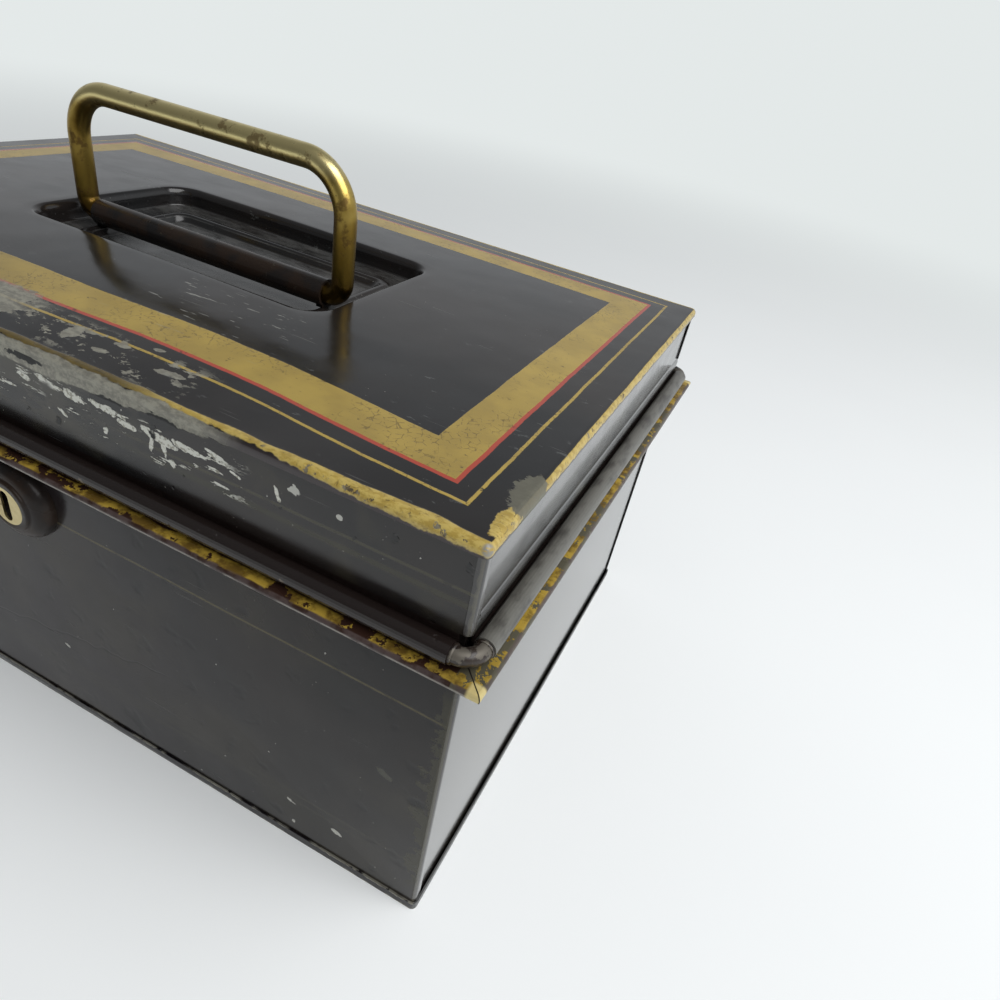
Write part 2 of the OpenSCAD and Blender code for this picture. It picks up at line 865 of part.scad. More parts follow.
body_front();
body_back();
body_left_end();
body_right_end();
base_plate();
lock_boss();
escutcheon();
lock_case();
lock_cap();
lock_cap_screws();
key_pin();
bolt_stumps();
bolt_spring();
lock_bolt();
hinge_strap_left();
hinge_strap_right();
hinge_rivets();
lid_front();
lid_back();
lid_left_end();
lid_right_end();
lid_top();
lid_wire();
lid_staple();
handle_tube();
handle();
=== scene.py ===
# %% [markdown]
# # A japanned tin deed box
#
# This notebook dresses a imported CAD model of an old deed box: black varnished tinplate with gilt
# and red lines, a brass handle in a pressed tray, and a small lock. The CAD model fixes every
# size. What is added here is the look: smooth sheets, worn paint, aged brass, light and camera.
#
# All lengths are in metres and stand in the frame of the CAD model: the origin is the centre of
# the base, X runs along the front, Y points to the back and Z points up.

# %% Load the frame
import json
import math

import bmesh
import bpy
from mathutils import Matrix, Vector


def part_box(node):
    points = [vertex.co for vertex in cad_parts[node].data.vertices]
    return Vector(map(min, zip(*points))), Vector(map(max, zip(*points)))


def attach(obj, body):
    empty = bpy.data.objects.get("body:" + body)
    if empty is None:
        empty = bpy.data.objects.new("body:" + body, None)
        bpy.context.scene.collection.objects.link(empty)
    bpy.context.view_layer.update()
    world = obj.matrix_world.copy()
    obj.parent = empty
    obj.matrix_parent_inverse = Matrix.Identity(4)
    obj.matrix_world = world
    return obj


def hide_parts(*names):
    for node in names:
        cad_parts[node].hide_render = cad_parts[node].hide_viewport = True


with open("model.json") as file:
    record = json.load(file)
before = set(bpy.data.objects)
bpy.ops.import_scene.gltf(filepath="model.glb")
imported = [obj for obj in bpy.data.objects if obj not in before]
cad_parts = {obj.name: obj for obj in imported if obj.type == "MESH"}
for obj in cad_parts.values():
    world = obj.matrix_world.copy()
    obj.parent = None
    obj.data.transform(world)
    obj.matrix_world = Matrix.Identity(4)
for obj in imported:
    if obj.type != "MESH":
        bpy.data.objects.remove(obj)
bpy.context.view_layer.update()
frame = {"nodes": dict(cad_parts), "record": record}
record = frame["record"]
body_of = {n: b for b, names in record["behaviour"]["bodies"].items() for n in names}
print("nodes:", len(body_of), "bodies:", sorted(set(body_of.values())))

# %% [markdown]
# ## Sizes that the pieces share
#
# A tinsmith marks the sheet from a few sizes and takes the rest from them. The same is done
# here: the sizes below are those of the CAD model, read from its nodes where a node shows them.

# %% Sizes of the box
MM = 0.001
low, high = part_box("lid_top")
LID_L = high.x - low.x
LID_W = high.y - low.y
TIN = 0.6 * MM
RIM_Z = 141.6 * MM
SEAT_Z = 109.8 * MM
HALF_X = LID_L / 2 - TIN
HALF_Y = LID_W / 2 - TIN
PIVOT = Vector((0, -11.4 * MM, RIM_Z + 0.4 * MM))
TUBE_R = 4.4 * MM
CREST_Z = PIVOT.z - TUBE_R
print("lid %.1f x %.1f mm" % (LID_L / MM, LID_W / MM))

# %% [markdown]
# ## A bench for node trees
#
# Materials and Geometry Nodes are both trees of nodes. Wiring them by hand makes long code that
# hides the thought, so a small class wraps a socket and lets Python's own operators lay the Math
# nodes. With it, a mask reads like a sum: `chips * (1 - band)`.

# %% Values that vary over a surface
class Value:
    def __init__(self, bench, socket):
        self.bench = bench
        self.socket = socket

    def __add__(self, other):
        return self.bench.math("ADD", self, other)

    def __radd__(self, other):
        return self.bench.math("ADD", other, self)

    def __sub__(self, other):
        return self.bench.math("SUBTRACT", self, other)

    def __rsub__(self, other):
        return self.bench.math("SUBTRACT", other, self)

    def __mul__(self, other):
        return self.bench.math("MULTIPLY", self, other)

    def __rmul__(self, other):
        return self.bench.math("MULTIPLY", other, self)

    def __truediv__(self, other):
        return self.bench.math("DIVIDE", self, other)

    def __rtruediv__(self, other):
        return self.bench.math("DIVIDE", other, self)

    def __pow__(self, other):
        return self.bench.math("POWER", self, other)

    def __abs__(self):
        return self.bench.math("ABSOLUTE", self)


# %% The bench that lays the nodes
class Bench:
    def __init__(self, tree):
        self.tree = tree

    def plug(self, value, socket):
        if isinstance(value, Value):
            value = value.socket
        if isinstance(value, bpy.types.NodeSocket):
            self.tree.links.new(value, socket)
        else:
            socket.default_value = value

    def node(self, kind, settings=None, inputs=None):
        made = self.tree.nodes.new(kind)
        for name, value in (settings or {}).items():
            if name == "stops":
                ramp = made.color_ramp.elements
                while len(ramp) < len(value):
                    ramp.new(0.5)
                for stop, (place, colour) in zip(ramp, value):
                    stop.position = place
                    stop.color = colour
            else:
                setattr(made, name, value)
        for name, value in (inputs or {}).items():
            self.plug(value, made.inputs[name])
        return made

    def math(self, operation, *values):
        made = self.node("ShaderNodeMath", {"operation": operation}, dict(enumerate(values)))
        return Value(self, made.outputs[0])

    def least(self, a, b):
        return self.math("MINIMUM", a, b)

    def most(self, a, b):
        return self.math("MAXIMUM", a, b)

    def split(self, vector):
        made = self.node("ShaderNodeSeparateXYZ", inputs={0: vector})
        return [Value(self, out) for out in made.outputs]

    def joined(self, x, y, z):
        return self.node("ShaderNodeCombineXYZ", inputs={0: x, 1: y, 2: z}).outputs[0]


# %% [markdown]
# ## The bench for a finish
#
# A finish is built up in coats, as on the real box: the bare tin, the black varnish, the gilt,
# and then what time took away. Every pattern reads the place on the box in millimetres, so a
# line that is 10 mm from the edge on the real lid is 10 mm from the edge here.

# %% Coats of a finish
def paint(r, g, b):
    """A colour as read off a photograph, 0 to 255, turned into the linear light a shader needs."""
    line = [v / 255 / 12.92 if v < 10.3 else ((v / 255 + 0.055) / 1.055) ** 2.4 for v in (r, g, b)]
    return (*line, 1)


class Finish(Bench):
    def __init__(self, name):
        self.material = bpy.data.materials.new(name)
        self.material.use_nodes = True
        super().__init__(self.material.node_tree)
        self.tree.nodes.clear()
        place = self.node("ShaderNodeTexCoord").outputs["Object"]
        scaled = self.node("ShaderNodeMapping", inputs={"Vector": place, "Scale": (1000, 1000, 1000)})
        self.place = scaled.outputs[0]
        self.x, self.y, self.z = self.split(self.place)

    def grain(self, size, detail=2, rough=0.5, stretch=(1, 1, 1), shift=0, turn=0, twist=0):
        """Cloudy noise whose lumps are about `size` mm, from 0 to 1."""
        moved = self.node("ShaderNodeMapping", inputs={
            "Vector": self.place, "Location": (shift, 1.7 * shift, -shift), "Rotation": (0, 0, turn),
            "Scale": tuple(1 / (size * s) for s in stretch)})
        made = self.node("ShaderNodeTexNoise", inputs={
            "Vector": moved.outputs[0], "Scale": 1, "Detail": detail, "Roughness": rough,
            "Distortion": twist})
        return Value(self, made.outputs[0])

    def cells(self, size, shift=0, feature="DISTANCE_TO_EDGE", stretch=(1, 1, 1)):
        """Cracked cells about `size` mm across: the distance to the nearest crack."""
        moved = self.node("ShaderNodeMapping", inputs={
            "Vector": self.place, "Location": (shift, shift, shift),
            "Scale": tuple(1 / (size * s) for s in stretch)})
        made = self.node("ShaderNodeTexVoronoi", {"feature": feature},
                         {"Vector": moved.outputs[0], "Scale": 1})
        return Value(self, made.outputs["Distance"])

    def above(self, value, edge, soft=0.02):
        """0 below the edge, 1 above it, with a soft step."""
        made = self.node("ShaderNodeMapRange", {"interpolation_type": "SMOOTHSTEP"}, {
            "Value": value, "From Min": edge - soft, "From Max": edge + soft})
        return Value(self, made.outputs["Result"])

    def within(self, value, start, end, soft=0.1):
        return self.above(value, start, soft) * (1 - self.above(value, end, soft))

    def coat(self, under, over, mask):
        made = self.node("ShaderNodeMix", {"data_type": "RGBA"}, {0: mask, 6: under, 7: over})
        return made.outputs[2]

    def level(self, under, over, mask):
        return under + (over - under) * mask

    def flakes(self, distance, reach, size, amount=0.5, shift=0, rough=0.65):
        """Chips that are dense at distance 0 and gone past `reach` mm."""
        cloud = self.grain(size, 5, rough, shift=shift)
        return self.above(cloud - distance / reach * 0.5, 0.62 - amount * 0.5, 0.012)

    def spot(self, x, y, long, broad, turn=0.0, ragged=0.6, shift=0, up=False):
        """A ragged blot at a place on the lid top, or on the front where `up` is set."""
        across, rise = self.x - x, (self.z if up else self.y) - y
        u = (across * math.cos(turn) + rise * math.sin(turn)) / long
        v = (rise * math.cos(turn) - across * math.sin(turn)) / broad
        edge = 1 - (u * u + v * v) + (self.grain(2.4, 4, 0.65, shift=shift) - 0.5) * ragged * 6
        return self.above(edge, 0, 0.15)

    def close(self, colour, roughness, metallic, height=None, step=1.0, coat=0.0, gloss=0.5):
        """The last node: the surface, with relief `height` in mm."""
        inputs = {"Base Color": colour, "Roughness": roughness, "Metallic": metallic,
                  "Specular IOR Level": gloss, "Coat Weight": coat, "Coat Roughness": 0.1}
        if height is not None:
            relief = self.node("ShaderNodeBump", inputs={
                "Height": height, "Strength": step, "Distance": MM})
            inputs["Normal"] = relief.outputs[0]
        skin = self.node("ShaderNodeBsdfPrincipled", inputs=inputs)
        self.node("ShaderNodeOutputMaterial", inputs={"Surface": skin.outputs[0]})
        return self.material


# %% [markdown]
# ## Black japan
#
# Japanning is a stoved asphalt varnish. It is nearly black, a little brown where it is thin, and
# glossy like deep water, so what one sees is mostly its reflection. A sheet of tin is never flat:
# long shallow waves bend that reflection. Then come haze from handling, hair scratches, and small
# pits with pale specks in them. One recipe gives all black pieces this coat, and each piece then
# adds its own lines and wear.

# %% The black coat
BLACK = (0.0085, 0.0085, 0.0090, 1)
BLACK_WARM = (0.0170, 0.0135, 0.0120, 1)
BARE = (0.23, 0.22, 0.19, 1)
PRIMER = (0.165, 0.158, 0.135, 1)
PALE = (0.62, 0.62, 0.56, 1)
UMBER = (0.030, 0.017, 0.010, 1)
GILT = (0.41, 0.290, 0.060, 1)
GILT_DULL = (0.19, 0.130, 0.035, 1)
GILT_FAINT = (0.085, 0.068, 0.030, 1)
VERMILION = (0.36, 0.050, 0.028, 1)
WORN = (0.31, 0.30, 0.245, 1)
OLIVE = (0.062, 0.054, 0.030, 1)


def black_coat(finish):
    cloud = finish.grain(55, 3)
    smear = finish.grain(9, 4, stretch=(2.2, 1, 1), shift=11)
    colour = finish.coat(BLACK, BLACK_WARM, finish.above(cloud, 0.5, 0.2))
    hair = finish.above(finish.grain(1.0, 2, stretch=(26, 1.2, 1), shift=3, turn=0.5), 0.735, 0.02)
    hair = hair * finish.above(finish.grain(30, 2, shift=8), 0.5, 0.1)
    colour = finish.coat(colour, (0.10, 0.10, 0.095, 1), hair * 0.55)
    speck = finish.above(finish.grain(0.8, 1, shift=21), 0.80, 0.02) * finish.above(
        finish.grain(20, 2, shift=5), 0.56, 0.05)
    colour = finish.coat(colour, (0.26, 0.25, 0.22, 1), speck * 0.8)
    roughness = 0.13 + finish.above(smear, 0.52, 0.16) * 0.09 + hair * 0.2 + speck * 0.3
    relief = finish.grain(42, 2, shift=31) * 0.55 + finish.grain(14, 2, shift=32) * 0.06
    relief = relief + finish.grain(1.2, 2, shift=33) * 0.004
    return colour, roughness, relief


# %% [markdown]
# ## The lid top and its painted frame
#
# The striper's brush left four frames, from the edge inwards: a gilt stripe on the edge itself, a
# hair line, a red line, and a broad gilt band that touches the red. They were drawn by hand, so
# the long lines bow a little and their edges waver. The gilt has fine dark cracks. Along the front
# edge hands and shelves wore the paint down to the primer, and here and there to the tin.

# %% Finish of the lid top
def lid_top_finish():
    f = Finish("japan_lid_top")
    colour, roughness, relief = black_coat(f)
    half_l, half_w = LID_L / 2 / MM, LID_W / 2 / MM
    waver = (f.grain(16, 3, shift=2) - 0.5) * 0.7 + (f.grain(2.5, 2, shift=4) - 0.5) * 0.25
    front = half_w + f.y
    end = half_l - abs(f.x)
    side = half_w - abs(f.y)
    bow = f.most(1 - (f.x / half_l) ** 2, 0) * 4.2 + f.within(f.x, 28, 96, 26) * 2.0
    side_bowed = side - bow * f.above(0 - f.y, 0, 30)
    # The way from the edge inwards; over the rounded edge and down the fold it is below zero
    drop = f.most(RIM_Z / MM - f.z, 0)
    edge = f.least(end, side) - drop

    def inside(from_end, from_side, soft=0.12):
        return f.above(f.least(end - from_end, side_bowed - from_side) + waver, 0, soft)

    # The hair line, the red line and the broad band
    hair_line = inside(10.3, 9.3) * (1 - inside(11.2, 10.2))
    red_line = inside(15.9, 14.8) * (1 - inside(17.3, 16.2))
    band = inside(17.1, 16.0) * (1 - inside(28.9, 28.7))
    slow = f.grain(26, 3, shift=12) - 0.5
    stripe = 1 - f.above(f.least(end - drop - 0.9, side - drop - 2.7 - slow * 4) + waver, 0, 0.2)
    stripe = f.most(stripe, f.spot(148.0, -86.5, 2.0, 5.6, 0.08, 0.3, 14))
    outer = f.least(-2.2 + f.most(120 - f.x, 0) * f.above(0 - f.y, 80, 5) * 0.085, 0.2)
    stripe = stripe * f.above(edge + (f.grain(3, 4, shift=16) - 0.5) * 2.4 - outer, 0, 0.25)

    cracks = 1 - f.above(f.cells(2.3, shift=3) + (f.grain(1.2, 3, shift=6) - 0.5) * 0.3, 0.018, 0.016)
    cracks = cracks * f.above(f.grain(15, 3, shift=7), 0.50, 0.06)
    blotch = f.above(f.grain(13, 4, shift=9), 0.50, 0.14)
    streak = f.grain(1.2, 3, stretch=(7, 1, 1), shift=10)
    gilt = f.coat(GILT, GILT_DULL, blotch * 0.30 + streak * 0.16)
    gilt = f.coat(gilt, (0.07, 0.045, 0.016, 1), cracks * 0.55)
    fleck = f.above(f.grain(2.0, 4, 0.7, stretch=(1.6, 1, 1), shift=11), 0.665, 0.02)
    gilt = f.coat(gilt, (0.06, 0.040, 0.018, 1), fleck * 0.7)
    rubbed = f.above(f.grain(3.2, 5, 0.7, shift=13), 0.655, 0.03)
    faded = 1 - f.above(f.x, -25, 40) * 0.75
    faded = faded * f.above(0 - f.y, 30, 20)

    colour = f.coat(colour, gilt, hair_line * (1 - rubbed * 0.9))
    colour = f.coat(colour, VERMILION, red_line * (1 - rubbed * 0.6))
    colour = f.coat(colour, gilt, band * (1 - rubbed * 0.30) * (1 - faded * 0.35))

    # The stripe: on the rounded edge, mottled with brighter gilt that is partly painted highlight, and olive where
    # hands wore it on the left
    mottle = f.grain(1.5, 4, 0.7, stretch=(1.8, 1, 1), shift=15)
    bright = f.coat(gilt, (0.52, 0.40, 0.12, 1), f.above(mottle, 0.50, 0.08) * 0.7)
    dull = 1 - f.above(f.x, 62, 14)
    dull = dull * f.above(0 - f.y, 60, 10)
    bright = f.coat(bright, (0.060, 0.042, 0.012, 1), dull * (0.6 + mottle * 0.6))
    fold = 1 - f.above(edge, -0.6, 1.0)
    colour = f.coat(colour, (0.035, 0.026, 0.027, 1), fold)
    chips = f.above(f.grain(2.4, 5, 0.68, shift=17) - abs(edge + 0.4) * 0.035, 0.575, 0.02)
    chips = chips * f.above(f.grain(15, 3, shift=18), 0.44, 0.06)
    colour = f.coat(colour, bright, stripe)
    worn_paint = f.coat((0.050, 0.040, 0.038, 1), PRIMER, f.above(f.grain(2.4, 4, shift=19), 0.50, 0.05))
    colour = f.coat(colour, worn_paint, stripe * chips * 0.85)

    # The flake beside the front right corner, and the corner itself
    flake = f.spot(148.5, -73.5, 4.4, 8.0, 0.12, 0.35, 23)
    colour = f.coat(colour, f.coat((0.17, 0.165, 0.125, 1), (0.09, 0.086, 0.066, 1), mottle), flake * 0.95)
    corner = 1 - f.above(end + side + drop * 0.8, 3.1, 0.5)
    colour = f.coat(colour, BARE, corner * f.above(mottle, 0.44, 0.05))

    # The front on the left: primer under the edge, grey smears and dark islands behind it
    worn_x = f.within(f.x + (f.grain(20, 3, shift=27) - 0.5) * 26, -90, 84, 9)
    low_edge = f.above(0.3 - edge + (f.grain(5, 5, 0.62, stretch=(2, 1, 1), shift=29) - 0.5) * 5, 0, 0.3)
    worn = low_edge * worn_x * f.above(0 - f.y, 60, 5)
    smears = f.above(f.grain(4.5, 5, 0.66, stretch=(1.7, 1, 1), shift=30), 0.565, 0.02)
    smears = smears * f.within(front, 4, 17, 2) * f.within(f.x, -80, 66, 6)
    smears = f.most(smears, f.above(f.grain(6, 5, 0.66, stretch=(2, 1, 1), shift=31), 0.465, 0.02)
                    * f.within(front, 9, 20, 2) * f.within(f.x, -72, 8, 10))
    for i, (x, y, long, broad) in enumerate([(26.5, -84.5, 2.2, 3.6), (-6, -80, 13, 4.0), (38.5, -87, 2.4, 1.1),
                                             (40, -82, 2.2, 1.0), (58.5, -85, 4.2, 1.2), (48, -78, 1.8, 0.8)]):
        smears = f.most(smears, f.spot(x, y, long, broad, 0.1, 0.5, 40 + i))
    grey = f.coat(WORN, PRIMER, f.above(mottle, 0.5, 0.12) * 0.8)
    colour = f.coat(colour, grey, smears * 0.9)
    colour = f.coat(colour, grey, worn)

    # Scratches in a bundle near the tray, and hazy rubs
    lines = f.above(f.grain(0.8, 2, stretch=(9, 1, 1), shift=35, turn=-0.9), 0.685, 0.02)
    zone = f.within(f.x, 18, 66, 6) * f.within(f.y, -68, -38, 5)
    colour = f.coat(colour, (0.30, 0.30, 0.27, 1), lines * zone * 0.6)
    rubs = f.above(f.grain(2.6, 4, 0.66, stretch=(2.4, 1, 1), shift=37, turn=0.3), 0.66, 0.03)
    rubs = rubs * f.above(f.grain(24, 2, shift=38), 0.50, 0.05)
    colour = f.coat(colour, (0.16, 0.17, 0.165, 1), rubs * 0.30 * (1 - band))

    # The underside is plain thin varnish
    facing = f.split(f.node("ShaderNodeTexCoord").outputs["Normal"])[2]
    under = 1 - f.above(facing, -0.25, 0.1)
    lacquer = f.coat((0.10, 0.075, 0.045, 1), (0.15, 0.12, 0.075, 1), f.grain(12, 4, shift=52))
    colour = f.coat(colour, lacquer, under)

    gone = f.least(f.most(f.most(worn, smears), f.most(flake, stripe * chips)), 1) * (1 - under)
    gilded = f.least(band + hair_line + stripe, 1) * (1 - gone) * (1 - under)
    roughness = f.level(roughness, 0.36, gilded * 0.8)
    roughness = f.level(roughness, 0.50, gone)
    roughness = f.level(roughness, 0.38, under)
    lean = f.most(0 - f.y - 32, 0)
    relief = relief - lean * lean * 0.0007 * f.within(f.x, -95, 95, 25)

    # Dust and rubbed varnish on the level parts of the tray, and dark walls. The grey on the level parts is partly
    # dust and partly a painted reflection of the room their floor mirrors.
    tray = f.within(f.x, -62, 62, 1) * f.within(f.y, -34, 38, 1)
    tray = tray * f.most(1 - f.above(f.z, 134.95, 0.15), f.within(f.z, 136.6, 137.0, 0.1))
    dust_and_sheen = f.above(f.grain(5, 5, 0.65, stretch=(2.4, 1, 1), shift=24), 0.46, 0.22) * tray
    colour = f.coat(colour, (0.14, 0.14, 0.135, 1), dust_and_sheen * 0.38)
    roughness = f.level(roughness, 0.36, dust_and_sheen * 0.8)
    relief = relief + gilded * 0.03 - cracks * gilded * 0.02 - gone * 0.08
    relief = relief + gone * f.grain(0.9, 3, shift=36) * 0.06 + stripe * mottle * 0.12
    return f.close(colour, roughness, f.level(0.0, 0.35, gone * 0.6), relief)


# %% [markdown]
# ## The walls and the ledge
#
# Front, ends and back wear the same black coat with thinner decoration: two faint gilt lines on
# the front of the lid, one bright thread below the ledge, and two more near the foot. The ledge
# is gilded on top, but its edge is rubbed to the dark red undercoat. Inside, the sheet has only a
# thin brown lacquer. Two recipes, one for the lid and one for the body, cover all eight walls.

# %% Finish of the walls
def wall_lines(f, heights, width, waver):
    mask = 0
    for height in heights:
        mask = mask + (1 - f.above(abs(f.z - height + waver), width, width * 0.55))
    return mask


def lid_wall_finish():
    f = Finish("japan_lid_wall")
    colour, roughness, relief = black_coat(f)
    front = 1 - f.above(f.y, -94.9, 0.05)
    ends = f.above(abs(f.x), HALF_X / MM - 2.0, 0.05) * f.above(f.z, 116.2, 0.3)
    top = RIM_Z / MM
    waver = (f.grain(22, 3, shift=42) - 0.5) * 0.6
    broken = f.above(f.x, 52, 24) * (1 - f.above(f.grain(5, 4, shift=43), 0.60, 0.06) * 0.6)
    upper = wall_lines(f, (top - 13.4,), 0.42, waver)
    lower = wall_lines(f, (top - 16.9,), 0.85, waver)
    colour = f.coat(colour, (0.042, 0.039, 0.023, 1), upper * front * broken)
    colour = f.coat(colour, (0.027, 0.025, 0.014, 1), lower * front * broken)
    colour = f.coat(colour, OLIVE, f.above(f.grain(14, 4, shift=44), 0.60, 0.08) * 0.20)

    # The worn front: haze and primer under the top edge, black islands, bright scratches in a belt
    worn_x = 1 - f.above(f.x + (f.grain(20, 3, shift=27) - 0.5) * 16, 84, 8)
    haze = f.above(f.grain(9, 5, 0.62, stretch=(2.6, 1, 0.8), shift=55), 0.47, 0.06)
    haze = haze * (1 - f.above(f.x, 46, 26)) * f.above(f.z, 121, 3) * front
    colour = f.coat(colour, (0.075, 0.070, 0.058, 1), haze * 0.75)
    limit = 134.9 + f.most(f.x - 40, 0) * 0.075
    worn = f.above(f.z - limit + (f.grain(7, 5, 0.6, stretch=(2.2, 1, 1), shift=45) - 0.5) * 7, 0, 0.35)
    worn = worn * worn_x * front
    grey = f.coat(WORN, PRIMER, f.above(f.grain(1.5, 4, 0.7, shift=15), 0.5, 0.12) * 0.8)
    colour = f.coat(colour, grey, worn)
    belt = f.within(f.z + (f.grain(13, 2, shift=56) - 0.5) * 5, 130.9, 134.6, 0.9)
    belt = f.most(belt, f.within(f.z, 124, 131, 1.5) * 0.86)
    scratch = f.above(f.grain(1.9, 4, 0.68, stretch=(4.0, 1, 0.9), shift=47) + belt * 0.075, 0.655, 0.012)
    scratch = scratch * f.within(f.x, -70, 88, 6) * front * f.above(belt, 0.5, 0.2)
    scratch = scratch * f.above(f.grain(17, 2, shift=48), 0.43, 0.05)
    for i, (x, z, long, broad, turn) in enumerate([
            (21, 131.6, 2.6, 0.9, -0.1), (27, 133.4, 2.2, 0.8, -0.2), (38, 132.2, 3.6, 1.3, -0.15),
            (47.3, 132.9, 3.6, 0.9, -0.1), (54.5, 131.0, 3.4, 0.8, -0.1), (64.2, 131.6, 5.5, 1.2, -0.12),
            (73.2, 132.0, 4.6, 0.9, -0.1), (81, 134.0, 3.2, 0.5, -0.2), (66, 129.4, 0.8, 2.4, 0.1),
            (62, 128.8, 0.7, 1.8, -0.2), (68.3, 125.8, 0.8, 1.2, 0.5), (47.3, 126.5, 0.9, 1.0, 0),
            (33, 126.0, 1.8, 0.6, -0.5), (98.5, 131.5, 0.7, 2.2, 0.3), (87, 131, 1.8, 0.4, -0.3)]):
        scratch = f.most(scratch, f.spot(x, z, long, broad, turn, 0.75, 160 + i, True) * front)
    island = f.spot(50, 134.6, 7.5, 1.7, 0.04, 0.4, 57, True)
    island = f.most(island, f.spot(65, 135.9, 6.5, 1.7, 0.06, 0.4, 58, True))
    island = f.most(island, f.spot(22, 137.2, 5.5, 1.1, 0.0, 0.6, 62, True))
    island = f.most(island, f.above(f.grain(6, 4, 0.6, stretch=(2.2, 1, 1), shift=46), 0.62, 0.02) * worn)
    colour = f.coat(colour, (0.005, 0.005, 0.005, 1), island * front)
    colour = f.coat(colour, f.coat(PALE, WORN, f.above(f.grain(1.1, 3, shift=84), 0.56, 0.05)), scratch)
    nick = f.above(f.grain(1.7, 3, shift=49), 0.75, 0.02)
    nick = f.most(nick, f.spot(103.2, 134.2, 1.5, 1.2, 0.0, 0.9, 59, True))
    nick = f.most(nick, f.spot(115.0, 132.4, 0.9, 0.8, 0.0, 0.6, 60, True)) * front
    colour = f.coat(colour, PALE, nick * 0.7)
    nails = f.above(f.grain(6, 3, shift=50), 0.69, 0.02) * front
    colour = f.coat(colour, (0.004, 0.004, 0.004, 1), nails)

    # The lapped strip at the corners, and bare metal on the corner itself
    lap = f.above(abs(f.x) + (f.grain(3, 4, shift=61) - 0.5) * 1.6, HALF_X / MM - 1.2, 0.2) * front
    colour = f.coat(colour, (0.060, 0.056, 0.040, 1), lap * 0.7)
    ragged = f.within(abs(f.x), HALF_X / MM - 0.9, HALF_X / MM + 0.4, 0.1) * f.within(
        0 - f.y + (f.grain(2.6, 4, shift=77) - 0.5) * 3, 91.0, 92.6, 0.2)
    colour = f.coat(colour, (0.010, 0.010, 0.009, 1), ragged)

    # The rolled bead is browner, and rubbed along its crest
    bead = 1 - f.above(f.z, 116.2, 0.3)
    colour = f.coat(colour, (0.012, 0.008, 0.007, 1), bead)
    # On the right end the bead is painted a lit grey in streaks: a painted reflection of the bright floor.
    right_bead = bead * f.above(f.x, HALF_X / MM + 0.1, 0.1)
    sheen_streaks = f.above(f.grain(4, 4, 0.62, stretch=(1, 3, 1), shift=85), 0.44, 0.12)
    colour = f.coat(colour, (0.115, 0.112, 0.098, 1), right_bead * (0.35 + sheen_streaks * 0.6))
    crest = f.flakes(abs(f.z - 112.4) + 1.6, 7, 3.0, 0.22, shift=51)
    colour = f.coat(colour, (0.14, 0.115, 0.085, 1), bead * crest * 0.8)
    rim_line = f.within(f.z, 111.3, 111.9, 0.15) * f.above(f.grain(9, 3, shift=78), 0.42, 0.08)
    colour = f.coat(colour, (0.060, 0.052, 0.046, 1), rim_line * 0.8)

    inner = f.above(HALF_X / MM - 0.9 - abs(f.x), 0, 0.1) * f.above(HALF_Y / MM - 0.3 - abs(f.y), 0, 0.1)
    lacquer = f.coat((0.10, 0.075, 0.045, 1), (0.15, 0.12, 0.075, 1), f.grain(12, 4, shift=52))
    colour = f.coat(colour, lacquer, inner * (1 - bead))
    gone = f.least(worn + scratch, 1)
    roughness = f.level(roughness + 0.05, 0.48, gone)
    roughness = f.level(roughness, 0.38, f.least(haze + inner, 1))
    roughness = f.level(roughness, 0.24, bead)
    relief = relief * (1 - ends * 0.75) + ends * (140 - f.z) * (140 - f.z) * 0.004
    relief = relief - gone * 0.08 + gone * f.grain(0.8, 3, shift=53) * 0.05
    relief = relief - nails * 0.10 + ragged * 0.1
    roughness = f.level(roughness, 0.34, right_bead)
    return f.close(colour, roughness, gone * 0.3, relief, coat=ends * 0.75)


